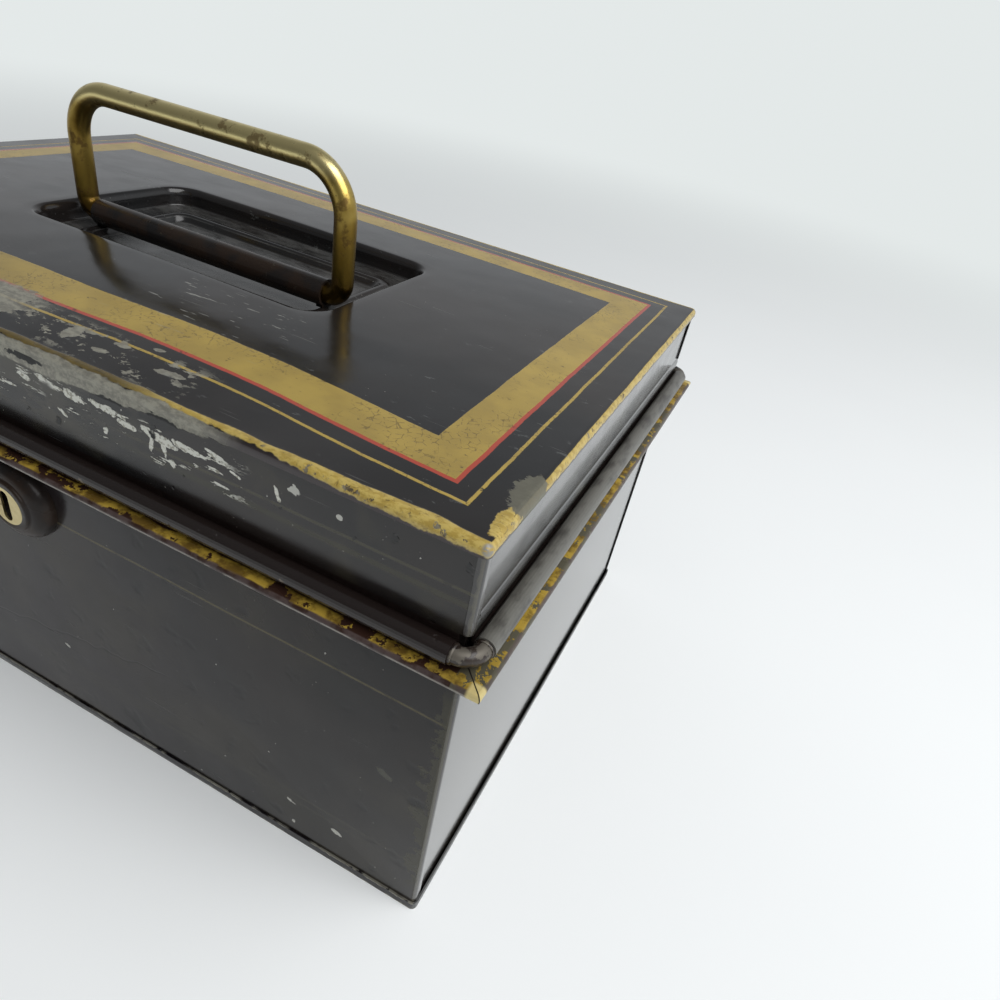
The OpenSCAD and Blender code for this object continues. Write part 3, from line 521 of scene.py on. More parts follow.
def body_wall_finish():
    f = Finish("japan_body_wall")
    colour, roughness, relief = black_coat(f)
    front = 1 - f.above(f.y, -94.9, 0.05)
    ends = f.above(abs(f.x), HALF_X / MM - 1.0, 0.05) * (1 - f.above(f.z, 104, 1))
    seat = SEAT_Z / MM
    waver = (f.grain(26, 3, shift=62) - 0.5) * 0.8
    colour = f.coat(colour, (0.019, 0.015, 0.017, 1), front * (1 - f.above(f.x, 55, 60)) * 0.7)
    colour = f.coat(colour, OLIVE, f.above(f.grain(26, 4, shift=63), 0.56, 0.12) * 0.18)

    # Thread below the ledge and the two near the foot
    rubbed = f.above(f.grain(6, 4, shift=64), 0.60, 0.08)
    thread = wall_lines(f, (86.0,), 0.36, waver) * front * (1 - rubbed * 0.5)
    foot_lines = wall_lines(f, (23.0, 19.6), 0.45, waver * 1.5) * front * (1 - rubbed * 0.6)
    colour = f.coat(colour, (0.080, 0.068, 0.034, 1), thread)
    colour = f.coat(colour, (0.030, 0.027, 0.019, 1), foot_lines)

    # Varnish flaked thin beside the right edge, bare spots at the corner and foot
    from_right = HALF_X / MM - f.x
    thin = f.flakes(from_right - 1, 13, 7.0, 0.46, shift=65) * front * f.within(f.z, 12, 96, 4)
    colour = f.coat(colour, (0.040, 0.037, 0.022, 1), thin * 0.8)
    lap = f.above(abs(f.x) + (f.grain(3, 4, shift=79) - 0.5) * 1.4, HALF_X / MM - 1.3, 0.2) * front
    colour = f.coat(colour, (0.055, 0.050, 0.034, 1), lap * 0.6)
    corner = f.least(HALF_X / MM - abs(f.x), 40) + f.least(HALF_Y / MM - abs(f.y), 40)
    rub = f.flakes(corner, 1.6, 3.0, 0.40, shift=66)
    colour = f.coat(colour, PRIMER, rub * 0.6)
    nick = f.above(f.grain(2.2, 3, shift=68), 0.765, 0.015)
    for i, (x, z, long, broad) in enumerate([(103.6, 18.1, 1.6, 0.7), (120.1, 15.8, 2.0, 0.8), (104.8, 8.3, 0.6, 0.9),
                                             (13, 31, 1.2, 0.5)]):
        nick = f.most(nick, f.spot(x, z, long, broad, -0.3, 0.9, 140 + i, True) * front)
    colour = f.coat(colour, PALE, nick * 0.7)
    smear = f.spot(133.8, 55.5, 2.8, 1.3, -0.5, 0.7, 150, True) * front
    colour = f.coat(colour, (0.055, 0.055, 0.040, 1), smear * 0.8)
    dent = f.above(f.grain(8, 2, shift=69), 0.69, 0.09) * front
    colour = f.coat(colour, (0.004, 0.004, 0.005, 1), dent * 0.8)
    line = 31 + (f.x + 15) * 0.19 + (f.grain(14, 3, shift=70) - 0.5) * 7
    crack = (1 - f.above(abs(f.z - line), 0.30, 0.2)) * f.within(f.x, -60, 56, 6) * front
    colour = f.coat(colour, (0.006, 0.005, 0.005, 1), crack * f.above(f.grain(9, 3, shift=80), 0.45, 0.1))

    # The ledge: dark beside the bead, a gilt strip, and a brown lip rubbed to the metal
    out = f.most(abs(f.x) - HALF_X / MM, abs(f.y) - HALF_Y / MM)
    ledge = f.above(out, 0.15, 0.1) * f.above(f.z, 106.6, 0.1)
    right = f.above(f.x, HALF_X / MM, 0.1)
    wave = (f.grain(11, 4, 0.6, shift=71) - 0.5) * 3.2
    strip = f.above(out + wave, 3.9 - right * 0.6, 0.25) * (1 - f.above(out + wave * 0.5, 6.7, 0.2))
    bald = f.above(f.grain(5, 5, 0.68, stretch=(2, 2, 1), shift=72), 0.545, 0.03)
    bald = f.least(bald + (1 - f.above(f.x, 14, 14)) * front * 0.9, 1)
    gilt = f.coat((0.36, 0.245, 0.038, 1), (0.115, 0.070, 0.014, 1), f.above(f.grain(3, 4, 0.65, stretch=(2, 2, 1), shift=73), 0.5, 0.1))
    colour = f.coat(colour, (0.028, 0.013, 0.009, 1), ledge)
    colour = f.coat(colour, (0.088, 0.082, 0.056, 1), ledge * right * 0.9)
    colour = f.coat(colour, gilt, ledge * strip * f.above(1 - bald, 0.5, 0.2))
    lip = ledge * f.above(out, 6.5, 0.2)
    colour = f.coat(colour, (0.075, 0.055, 0.052, 1), lip * f.above(f.grain(4, 4, shift=74), 0.47, 0.1) * 0.8)
    low_line = ledge * f.within(f.z, 107.6, 108.2, 0.15) * f.above(f.grain(8, 4, shift=81), 0.46, 0.08)
    colour = f.coat(colour, (0.30, 0.28, 0.25, 1), low_line * 0.7)
    # The tips of the ledge at the corners are painted a pale bright gold: a painted glint on the gilt.
    tip_glint = f.above(f.least(abs(f.x) - HALF_X / MM, abs(f.y) - HALF_Y / MM), 3.9, 0.5)
    colour = f.coat(colour, (0.70, 0.58, 0.26, 1), tip_glint * 0.8)
    joint = 1 - f.above(abs(abs(f.x) - HALF_X / MM - abs(f.y) + HALF_Y / MM), 0.22, 0.1)
    colour = f.coat(colour, (0.010, 0.007, 0.006, 1), ledge * joint)

    # Inside
    inner = f.above(HALF_X / MM - 0.9 - abs(f.x), 0, 0.1) * f.above(HALF_Y / MM - 0.3 - abs(f.y), 0, 0.1)
    inner = inner * (1 - f.above(f.z, seat - 0.4, 0.2))
    lacquer = f.coat((0.10, 0.075, 0.045, 1), (0.15, 0.12, 0.075, 1), f.grain(12, 4, shift=75))
    colour = f.coat(colour, lacquer, inner)
    gone = f.least(rub + nick + ledge * 0.4, 1)
    roughness = f.level(roughness, 0.24, ends)
    roughness = f.level(roughness, 0.40, f.least(gone + thin * 0.5 + inner, 1))
    scuff = f.above(f.grain(5, 4, stretch=(1, 1.4, 2.6), shift=76), 0.71, 0.02) * right
    colour = f.coat(colour, (0.02, 0.02, 0.02, 1), scuff)
    roughness = f.level(roughness, 0.75, scuff)
    relief = relief * (1 - ends * 0.8)
    relief = relief - gone * 0.05 - dent * 0.05 - crack * 0.03 + ledge * f.grain(3.5, 3, shift=82) * 0.12
    return f.close(colour, roughness, f.level(0.0, 0.3, rub), relief, coat=ends * 0.72, gloss=0.25)


# %% [markdown]
# ## The other blacks, the tin and the brass
# Wire, tube, boss and straps are black too but rubbed in other places. The lock is dull tinned
# iron with rust in its corners. The handle is an old brass rod with olive and brown patina. Its
# legs are painted darker towards the feet, a painted shade, and the top of its grip is painted
# pale, a painted highlight. The handle is an old brass rod: olive and brown where nobody
# touches it, bright on the bends that take the hand.

# %% Finish of the small black pieces
def small_black_finish(name, shift, rub, edge_colour, roughness_at, gloss=0.5):
    f = Finish(name)
    colour, roughness, relief = black_coat(f)
    colour = f.coat(colour, UMBER, f.above(f.grain(8, 4, shift=shift), 0.48, 0.1) * 0.55)
    worn = f.above(f.grain(3.0, 5, 0.66, shift=shift + 2), rub, 0.02)
    colour = f.coat(colour, edge_colour, worn * 0.7)
    roughness = f.level(roughness + roughness_at, 0.5, worn)
    relief = relief + f.grain(2.5, 3, shift=shift + 3) * 0.03 - worn * 0.03
    return f.close(colour, roughness, worn * 0.4, relief, gloss=gloss)


def base_finish():
    """The folded seam round the foot: dark, chipped along its edges by every shelf it stood on."""
    f = Finish("japan_base")
    colour, roughness, relief = black_coat(f)
    ends = f.above(abs(f.x), HALF_X / MM - 0.3, 0.05) * f.above(f.z, 0.3, 0.1)
    colour = f.coat(colour, (0.010, 0.008, 0.010, 1), 0.8 - ends * 0.8)
    from_edge = f.least(f.z, abs(3.0 - f.z))
    chip = f.flakes(from_edge * 3, 5, 3.4, 0.42, shift=103, rough=0.68)
    out = f.most(abs(f.x) - HALF_X / MM, abs(f.y) - HALF_Y / MM)
    chip = chip * f.above(f.grain(19, 3, shift=104), 0.49, 0.05) * f.above(out, -0.4, 0.1)
    lacquer = f.coat((0.10, 0.075, 0.045, 1), (0.15, 0.12, 0.075, 1), f.grain(12, 4, shift=107))
    inner = (1 - f.above(out, -0.7, 0.1)) * f.above(f.z, 0.3, 0.1)
    colour = f.coat(colour, lacquer, inner)
    colour = f.coat(colour, f.coat(WORN, BARE, f.grain(1.2, 3, shift=105)), chip * 0.85)
    # On the ends the fold is painted a pale grey, palest at its top: a painted reflection of the bright floor beside
    # it.
    colour = f.coat(colour, (0.10, 0.102, 0.10, 1), ends * (0.75 + f.above(f.z, 2.2, 0.3) * 0.25))
    roughness = f.level(roughness, 0.42, f.most(f.most(chip, inner), ends * 0.8))
    relief = (relief + f.grain(2.5, 3, shift=106) * 0.04 - chip * 0.05) * (1 - ends * 0.8)
    return f.close(colour, roughness, chip * 0.4, relief, gloss=0.3)


def tin_finish():
    f = Finish("bare_tin")
    cloud = f.grain(10, 4, shift=81)
    colour = f.coat((0.33, 0.32, 0.29, 1), (0.20, 0.19, 0.17, 1), f.above(cloud, 0.5, 0.15))
    rust = f.above(f.grain(5, 5, 0.65, shift=82), 0.60, 0.04)
    colour = f.coat(colour, (0.13, 0.055, 0.022, 1), rust * 0.7)
    brushed = f.grain(0.6, 2, stretch=(20, 1, 1), shift=83)
    roughness = 0.34 + rust * 0.35 + brushed * 0.12
    return f.close(colour, roughness, 0.95 - rust * 0.8, brushed * 0.015 + rust * 0.03)


def brass_finish(name, light, dark, shift):
    f = Finish(name)
    cloud = f.grain(14, 4, 0.6, shift=shift)
    colour = f.coat(light, dark, f.above(cloud, 0.50, 0.16))
    if name == "aged_brass":
        # On the handle: painted shade, darker brown down the legs and darkest at the feet, and a painted highlight,
        # pale along the top of the grip.
        low = 1 - f.above(f.z, 168, 14)
        colour = f.coat(colour, (0.215, 0.135, 0.022, 1), low * 0.8)
        colour = f.coat(colour, (0.075, 0.040, 0.008, 1), (1 - f.above(f.z, 147.5, 3)) * 0.8)
        colour = f.coat(colour, (0.86, 0.74, 0.37, 1), f.above(f.z, 178.5, 2.5) * 0.85)
    brown = f.above(f.grain(6, 5, 0.65, shift=shift + 2), 0.585, 0.05)
    colour = f.coat(colour, (0.095, 0.050, 0.014, 1), brown * 0.75)
    spot = f.above(f.grain(1.3, 3, shift=shift + 3), 0.72, 0.03)
    colour = f.coat(colour, (0.035, 0.022, 0.010, 1), spot * 0.7)
    line = f.grain(0.5, 2, stretch=(1, 1, 14), shift=shift + 4)
    roughness = 0.27 + brown * 0.14 + spot * 0.2 + line * 0.08
    relief = f.grain(9, 3, shift=shift + 5) * 0.16 + line * 0.006 - spot * 0.03
    return f.close(colour, roughness, 1.0 - brown * 0.15 - spot * 0.3, relief)


finishes = {
    "lid_top": lid_top_finish(),
    "lid_wall": lid_wall_finish(),
    "body_wall": body_wall_finish(),
    "wire": small_black_finish("japan_wire", 91, 0.50, (0.15, 0.135, 0.11, 1), 0.10),
    "tube": small_black_finish("japan_tube", 95, 0.66, (0.06, 0.05, 0.035, 1), 0.10, 0.22),
    "boss": small_black_finish("japan_boss", 99, 0.68, (0.06, 0.05, 0.04, 1), 0.12, 0.18),
    "base": base_finish(),
    "strap": small_black_finish("japan_strap", 107, 0.60, (0.16, 0.15, 0.13, 1), 0.10),
    "tin": tin_finish(),
    "brass": brass_finish("aged_brass", (0.50, 0.375, 0.110, 1), (0.30, 0.205, 0.050, 1), 111),
    "disc": brass_finish("pale_brass", (0.72, 0.62, 0.34, 1), (0.52, 0.42, 0.20, 1), 117),
}
print("finishes:", ", ".join(sorted(finishes)))

# %% [markdown]
# ## Smooth sheets from the CAD nodes
#
# A CAD node is a bag of loose triangles with one flat normal each. Merging their corners and
# marking only the real folds as sharp makes rolled beads look rolled. The shape isn't touched.

# %% Skins
def finish_piece(obj, node_names, finish, body=None):
    """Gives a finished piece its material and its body."""
    obj.data.materials.clear()
    obj.data.materials.append(finishes[finish])
    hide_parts(*node_names)
    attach(obj, body or body_of[node_names[0]])
    print("%-22s %6d faces" % (obj.name, len(obj.data.polygons)))
    return obj


def soften(mesh, angle=32):
    mesh.shade_smooth()
    mesh.set_sharp_from_angle(angle=math.radians(angle))


def skin(node, finish, angle=32):
    mesh = frame["nodes"][node].data.copy()
    mesh.name = node + "_skin"
    sheet = bmesh.new()
    sheet.from_mesh(mesh)
    bmesh.ops.remove_doubles(sheet, verts=sheet.verts, dist=1e-6)
    sheet.to_mesh(mesh)
    sheet.free()
    soften(mesh, angle)
    obj = bpy.data.objects.new(node + "_skin", mesh)
    bpy.context.scene.collection.objects.link(obj)
    even = obj.modifiers.new("even light", "WEIGHTED_NORMAL")
    even.keep_sharp = True
    even.weight = 90
    settled = obj.evaluated_get(bpy.context.evaluated_depsgraph_get())
    obj.data = bpy.data.meshes.new_from_object(settled)
    obj.modifiers.clear()
    return finish_piece(obj, [node], finish)


skins = {
    "body_front": "body_wall", "body_back": "body_wall", "body_left_end": "body_wall",
    "body_right_end": "body_wall", "base_plate": "base", "lock_boss": "boss", "escutcheon": "disc",
    "lock_case": "tin", "lock_cap": "tin", "key_pin": "tin", "bolt_stumps": "tin",
    "bolt_spring": "tin", "lock_bolt": "tin", "hinge_strap_left": "strap",
    "hinge_strap_right": "strap", "lid_front": "lid_wall", "lid_back": "lid_wall",
    "lid_left_end": "lid_wall", "lid_right_end": "lid_wall", "lid_staple": "tin",
    "handle_tube": "tube",
}
for node, finish in skins.items():
    skin(node, finish)

# %% [markdown]
# ## Recipes in Geometry Nodes
#
# Where a shape follows a rule, the rule is written down as a Geometry Nodes tree with named
# inputs. A tree stays open to change until it is turned into a plain mesh, which is what the
# rest of the work needs.

# %% The bench for a recipe
class Recipe(Bench):
    def __init__(self, name, inputs):
        super().__init__(bpy.data.node_groups.new(name, "GeometryNodeTree"))
        self.sockets = {}
        for label, kind in inputs.items():
            made = self.tree.interface.new_socket(name=label, in_out="INPUT", socket_type="NodeSocket" + kind)
            self.sockets[label] = made.identifier
        self.tree.interface.new_socket(name="Geometry", in_out="OUTPUT", socket_type="NodeSocketGeometry")
        self.given = self.node("NodeGroupInput")

    def get(self, label):
        socket = self.given.outputs[label]
        return Value(self, socket) if socket.type in ("VALUE", "INT") else socket

    def end(self, geometry):
        real = self.node("GeometryNodeRealizeInstances", inputs={0: geometry})
        dressed = self.node("GeometryNodeSetMaterial", inputs={
            "Geometry": real.outputs[0], "Material": self.get("Finish")})
        self.node("NodeGroupOutput", inputs={0: dressed.outputs[0]})

    def make(self, name, values):
        """Runs the recipe on an empty mesh and returns the result as a plain object."""
        blank = bpy.data.objects.new(name + "_recipe", bpy.data.meshes.new(name + "_blank"))
        bpy.context.scene.collection.objects.link(blank)
        step = blank.modifiers.new("recipe", "NODES")
        step.node_group = self.tree
        for label, value in values.items():
            step[self.sockets[label]] = value
        bpy.context.view_layer.update()
        graph = bpy.context.evaluated_depsgraph_get()
        mesh = bpy.data.meshes.new_from_object(blank.evaluated_get(graph))
        mesh.name = name
        bpy.data.objects.remove(blank)
        obj = bpy.data.objects.new(name, mesh)
        bpy.context.scene.collection.objects.link(obj)
        return obj


def guide(name, points, edges=(), **marks):
    """A mesh of points that a recipe reads. Each mark is one number per point."""
    mesh = bpy.data.meshes.new(name)
    mesh.from_pydata([tuple(p) for p in points], list(edges), [])
    for label, values in marks.items():
        kind = "FLOAT_VECTOR" if hasattr(values[0], "__len__") else "FLOAT"
        data = mesh.attributes.new(label, kind, "POINT")
        key = "vector" if kind == "FLOAT_VECTOR" else "value"
        for slot, value in zip(data.data, values):
            setattr(slot, key, value)
    obj = bpy.data.objects.new(name, mesh)
    bpy.context.scene.collection.objects.link(obj)
    return obj


def chain(count, closed=False):
    links = [(i, i + 1) for i in range(count - 1)]
    return links + ([(count - 1, 0)] if closed else [])


# %% [markdown]
# ## The lid top
#
# The lid top is one sheet, pressed over a form: a folded edge, a crown that swells a few
# millimetres, and the tray for the handle with its rolled edge, ledge, bead and floor. It could be
# modelled by hand from a plane. But it follows a rule: one section is carried round the box, near
# the edge along the outline of the box and near the tray along the outline of the tray. So a grid
# is bent by a recipe. One direction of the grid counts the points of the section, the other goes
# round, and each point blends between the two rounded rectangles.

# %% The section of the lid top
EDGE_BEND = 2.0 * MM
CROWN_START = 2.5 * MM
TRAY = {"Tray length": 119 * MM, "Tray width": 68 * MM, "Tray corner": 9 * MM,
        "Tray floor corner": 5 * MM, "Tray behind": 2 * MM}
TRAY_LIP = 2.2 * MM
TRAY_LEDGE = 13 * MM
TRAY_STEP = 3 * MM
BEAD = 0.8 * MM


def bend(centre, radius, start, end, steps):
    turns = [math.radians(start + (end - start) * i / steps) for i in range(steps + 1)]
    return [(centre[0] + radius * math.cos(a), centre[1] + radius * math.sin(a)) for a in turns]


def ramp(a, b, steps):
    """A smooth S from a to b, without its first point."""
    line = []
    for i in range(1, steps + 1):
        t = i / steps
        line.append((a[0] + (b[0] - a[0]) * t, a[1] + (b[1] - a[1]) * (1 - math.cos(math.pi * t)) / 2))
    return line


# Each point is (inset from the edge of the box, depth inside the tray wall, height), and a blend
section, blend = [], []
for inset, height in [(0, RIM_Z - 3 * MM)] + bend((EDGE_BEND, RIM_Z - EDGE_BEND), EDGE_BEND, 180, 90, 8):
    section.append((inset, -TRAY_LIP, height))
    blend.append(0.0)
for i in range(31):
    section.append((CROWN_START, -TRAY_LIP, RIM_Z))
    blend.append(i / 30)
LEDGE_TOP = CREST_Z - BEAD
FLOOR_Z = CREST_Z - TRAY_STEP
wall = bend((-TRAY_LIP, RIM_Z - TRAY_LIP), TRAY_LIP, 90, 0, 9)[1:]
wall += bend((0.9 * MM, LEDGE_TOP + 0.9 * MM), 0.9 * MM, 180, 270, 6)
wall += [(TRAY_LEDGE - 4.6 * MM, LEDGE_TOP)]
wall += ramp(wall[-1], (TRAY_LEDGE - 3.0 * MM, CREST_Z), 6)
wall += [(TRAY_LEDGE - 2.0 * MM, CREST_Z)]
wall += ramp(wall[-1], (TRAY_LEDGE + 0.9 * MM, FLOOR_Z), 9)
wall += [(TRAY["Tray width"] / 2 * t, FLOOR_Z) for t in (0.5, 0.7, 0.85, 1.0)]
for depth, height in wall:
    section.append((CROWN_START, depth, height))
    blend.append(1.0)
print("section points:", len(section))

# %% The recipe of the lid top
def lid_top_recipe():
    r = Recipe("Lid top", {
        "Section": "Object", "Rows": "Int", "Around": "Int", "Length": "Float", "Width": "Float",
        "Corner": "Float", "Tray length": "Float", "Tray width": "Float", "Tray corner": "Float",
        "Tray floor corner": "Float", "Tray behind": "Float", "Crown": "Float", "Rim": "Float",
        "Crest": "Float", "Crown start": "Float", "Dents": "Float", "Seed": "Float", "Finish": "Material"})
    grid = r.node("GeometryNodeMeshGrid", inputs={
        "Size X": 1, "Size Y": 1, "Vertices X": r.get("Around"), "Vertices Y": r.get("Rows")})
    across, along, _ = r.split(r.node("GeometryNodeInputPosition").outputs[0])

    # Round the ring: a corner takes 0.4 of each quarter and its straight side the rest
    quarter = (across + 0.5) * 4
    corner = r.math("FLOOR", r.least(quarter, 3.9999))
    part = quarter - corner
    turned = r.least(part / 0.4, 1)
    slid = r.most((part - 0.4) / 0.6, 0)
    angle = (corner + turned) * (math.pi / 2)
    facing = (r.math("COSINE", angle), r.math("SINE", angle))
    here = (corner + 0.5) * (math.pi / 2)
    there = (corner + 1.5) * (math.pi / 2)
    centre = []
    for wave in ("COSINE", "SINE"):
        a = r.math(wave, here) * math.sqrt(2)
        b = r.math(wave, there) * math.sqrt(2)
        centre.append(a + (b - a) * slid)

    # The row of the section
    info = r.node("GeometryNodeObjectInfo", inputs={"Object": r.get("Section")})
    row = r.math("ROUND", (along + 0.5) * (r.get("Rows") - 1))
    spot = r.node("GeometryNodeSampleIndex", {"data_type": "FLOAT_VECTOR"}, {
        "Geometry": info.outputs["Geometry"],
        "Value": r.node("GeometryNodeInputPosition").outputs[0], "Index": row})
    mark = r.node("GeometryNodeInputNamedAttribute", {"data_type": "FLOAT"}, {"Name": "blend"})
    mixed = r.node("GeometryNodeSampleIndex", {"data_type": "FLOAT"}, {
        "Geometry": info.outputs["Geometry"], "Value": mark.outputs[0], "Index": row})
    inset, depth, height = r.split(spot.outputs[0])
    t = Value(r, mixed.outputs[0])

    def ring(half_l, half_w, radius, behind):
        x = centre[0] * (half_l - radius) + facing[0] * radius
        y = centre[1] * (half_w - radius) + facing[1] * radius + behind
        return x, y

    outer = ring(r.get("Length") / 2 - inset, r.get("Width") / 2 - inset,
                 r.most(r.get("Corner") - inset, 0.0006), 0)
    tray_l = r.get("Tray length") / 2 - depth
    tray_w = r.get("Tray width") / 2 - depth
    round_off = r.least(r.most(r.get("Tray corner") - depth, r.get("Tray floor corner")), tray_w)
    inner = ring(tray_l, tray_w, round_off, r.get("Tray behind"))
    x = outer[0] + (inner[0] - outer[0]) * t
    y = outer[1] + (inner[1] - outer[1]) * t

    # The crown, which fades where the tray wall goes down
    swell = r.most(1 - (x / (r.get("Length") / 2 - r.get("Crown start"))) ** 2, 0)
    swell = swell * r.most(1 - (y / (r.get("Width") / 2 - r.get("Crown start"))) ** 2, 0)
    rise = r.most(r.least((height - r.get("Crest")) / (r.get("Rim") - r.get("Crest")), 1), 0)
    dent = r.node("ShaderNodeTexNoise", {"noise_dimensions": "4D"}, {
        "Vector": r.joined(x, y, 0), "W": r.get("Seed"), "Scale": 22, "Detail": 1})
    dent = (Value(r, dent.outputs[0]) - 0.5) * r.get("Dents") * swell
    z = height + swell * rise * r.get("Crown") + dent
    bent = r.node("GeometryNodeSetPosition", inputs={
        "Geometry": grid.outputs["Mesh"], "Position": r.joined(x, y, z)})
    merged = r.node("GeometryNodeMergeByDistance", inputs={
        "Geometry": bent.outputs[0], "Distance": 0.00001})
    r.end(merged.outputs[0])
    return r


section_guide = guide("lid_section", section, chain(len(section)), blend=blend)
lid_top = lid_top_recipe().make("lid_top_sheet", {
    "Section": section_guide, "Rows": len(section), "Around": 161, "Length": LID_L, "Width": LID_W,
    "Corner": 1.8 * MM, **TRAY, "Crown": 2.8 * MM, "Rim": RIM_Z, "Crest": CREST_Z,
    "Crown start": CROWN_START, "Dents": 0.35 * MM, "Seed": 7.0, "Finish": finishes["lid_top"]})
bpy.data.objects.remove(section_guide)


# %% Thickness of the lid top
def thicken(obj, thickness):
    """Turns an open sheet into tinplate whose outer face stays where it is."""
    sheet = bmesh.new()
    sheet.from_mesh(obj.data)
    bmesh.ops.remove_doubles(sheet, verts=sheet.verts, dist=2e-6)
    bmesh.ops.recalc_face_normals(sheet, faces=sheet.faces)
    sheet.faces.ensure_lookup_table()
    top = max(sheet.faces, key=lambda face: face.calc_center_median().z)
    if top.normal.z < 0:
        bmesh.ops.reverse_faces(sheet, faces=sheet.faces)
    sheet.to_mesh(obj.data)
    sheet.free()
    step = obj.modifiers.new("tinplate", "SOLIDIFY")
    step.thickness = thickness
    step.offset = -1
    graph = bpy.context.evaluated_depsgraph_get()
    solid = bpy.data.meshes.new_from_object(obj.evaluated_get(graph))
    obj.modifiers.clear()
    obj.data = solid


thicken(lid_top, TIN)
soften(lid_top.data, 40)
finish_piece(lid_top, ["lid_top"], "lid_top")

# %% [markdown]
# ## Rods that follow a path
#
# The handle is a brass rod bent four times. The lid's edge is rolled round a wire that shows at
# the corners. Both are one recipe: a path of straight runs, a bend at each point with its own
# radius, and a circle carried along it.

# %% The recipe of a bent rod
def rod_recipe():
    r = Recipe("Bent rod", {"Path": "Object", "Radius": "Float", "Steps": "Int", "Sides": "Int",
                            "Ends": "Bool", "Finish": "Material"})
    info = r.node("GeometryNodeObjectInfo", inputs={"Object": r.get("Path")})
    curve = r.node("GeometryNodeMeshToCurve", inputs={0: info.outputs["Geometry"]})
    radius = r.node("GeometryNodeInputNamedAttribute", {"data_type": "FLOAT"}, {"Name": "bend"})
    bent = r.node("GeometryNodeFilletCurve", {"mode": "POLY"}, {
        "Curve": curve.outputs[0], "Count": r.get("Steps"), "Radius": radius.outputs[0]})
    round_bar = r.node("GeometryNodeCurvePrimitiveCircle", inputs={
        "Resolution": r.get("Sides"), "Radius": r.get("Radius")})
    swept = r.node("GeometryNodeCurveToMesh", inputs={
        "Curve": bent.outputs[0], "Profile Curve": round_bar.outputs[0], "Fill Caps": r.get("Ends")})
    r.end(swept.outputs[0])
    return r


rods = rod_recipe()
LEG_X = 54.6 * MM
GRIP_Z = 38.9 * MM
FOOT_X = LEG_X - 25 * MM
grip_path = [(-FOOT_X, 0, 0), (-LEG_X, 0, 0), (-LEG_X, 0, GRIP_Z), (LEG_X, 0, GRIP_Z), (LEG_X, 0, 0), (FOOT_X, 0, 0)]
path = guide("handle_path", [PIVOT + Vector(p) for p in grip_path], chain(6),
             bend=[0, 5 * MM, 15 * MM, 15 * MM, 5 * MM, 0])
handle = rods.make("handle_rod", {"Path": path, "Radius": 3.5 * MM, "Steps": 20, "Sides": 40,
                                  "Ends": True, "Finish": finishes["brass"]})
bpy.data.objects.remove(path)
soften(handle.data, 50)
finish_piece(handle, ["handle"], "brass")

# %% [markdown]
# ## Things that repeat
#
# Four rivets hold the hinge straps, two screws hold the cap of the lock, and a collar of solder
# sits at each end of every rolled edge. Each is turned once, as on a lathe, and a recipe sets it
# on points.

# %% The recipe that sets parts on points
def lathe(name, profile, sides=24):
    """A turned part round Z. The profile runs from the bottom of the axis to the top of it."""
    part = bmesh.new()
    verts = [part.verts.new((x * MM, 0, z * MM)) for x, z in profile]
    edges = [part.edges.new(pair) for pair in zip(verts, verts[1:])]
    bmesh.ops.spin(part, geom=verts + edges, cent=(0, 0, 0), axis=(0, 0, 1),
                   angle=math.tau, steps=sides, use_merge=True)
    bmesh.ops.remove_doubles(part, verts=part.verts, dist=1e-7)
    bmesh.ops.recalc_face_normals(part, faces=part.faces)
    mesh = bpy.data.meshes.new(name)
    part.to_mesh(mesh)
    part.free()
    obj = bpy.data.objects.new(name, mesh)
    bpy.context.scene.collection.objects.link(obj)
    return obj


def setting_recipe():
    r = Recipe("Set on points", {"Points": "Object", "Part": "Object", "Finish": "Material"})
    points = r.node("GeometryNodeObjectInfo", inputs={"Object": r.get("Points")})
    part = r.node("GeometryNodeObjectInfo", inputs={"Object": r.get("Part")})
    turn = r.node("GeometryNodeInputNamedAttribute", {"data_type": "FLOAT_VECTOR"}, {"Name": "turn"})
    placed = r.node("GeometryNodeInstanceOnPoints", inputs={
        "Points": points.outputs["Geometry"], "Instance": part.outputs["Geometry"],
        "Rotation": turn.outputs[0]})
    r.end(placed.outputs[0])
    return r


settings = setting_recipe()


def set_parts(name, part, places, turns, finish):
    points = guide(name + "_points", places, turn=turns)
    made = settings.make(name, {"Points": points, "Part": part, "Finish": finishes[finish]})
    bpy.data.objects.remove(points)
    bpy.data.objects.remove(part)
    soften(made.data, 40)
    return made


# %% The wire of the bead and its collars
WIRE_OUT = 2.66 * MM
WIRE_R = 2.2 * MM
WIRE_Z = 112.96 * MM
wx, wy = HALF_X + WIRE_OUT, HALF_Y + WIRE_OUT
WIRE_BEND = 4.5 * MM
loop = guide("wire_path", [(wx, wy, WIRE_Z), (-wx, wy, WIRE_Z), (-wx, -wy, WIRE_Z), (wx, -wy, WIRE_Z)],
             chain(4, closed=True), bend=[WIRE_BEND] * 4)
wire = rods.make("lid_wire_loop", {"Path": loop, "Radius": WIRE_R, "Steps": 16, "Sides": 28,
                                   "Ends": False, "Finish": finishes["wire"]})
bpy.data.objects.remove(loop)
collar = lathe("collar", [(2.1, -0.4), (2.4, -0.4), (2.56, -0.2), (2.56, 0.2), (2.4, 0.4), (2.1, 0.4)])
spots, turns = [], []
for sx in (-1, 1):
    for sy in (-1, 1):
        spots.append((sx * (wx - WIRE_BEND - 0.4 * MM), sy * wy, WIRE_Z))
        turns.append((0, math.pi / 2, 0))
        spots.append((sx * wx, sy * (wy - WIRE_BEND - 0.4 * MM), WIRE_Z))
        turns.append((math.pi / 2, 0, 0))
collars = set_parts("lid_wire_collars", collar, spots, turns, "wire")
soften(wire.data, 50)
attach(collars, "lid")
finish_piece(wire, ["lid_wire"], "wire")

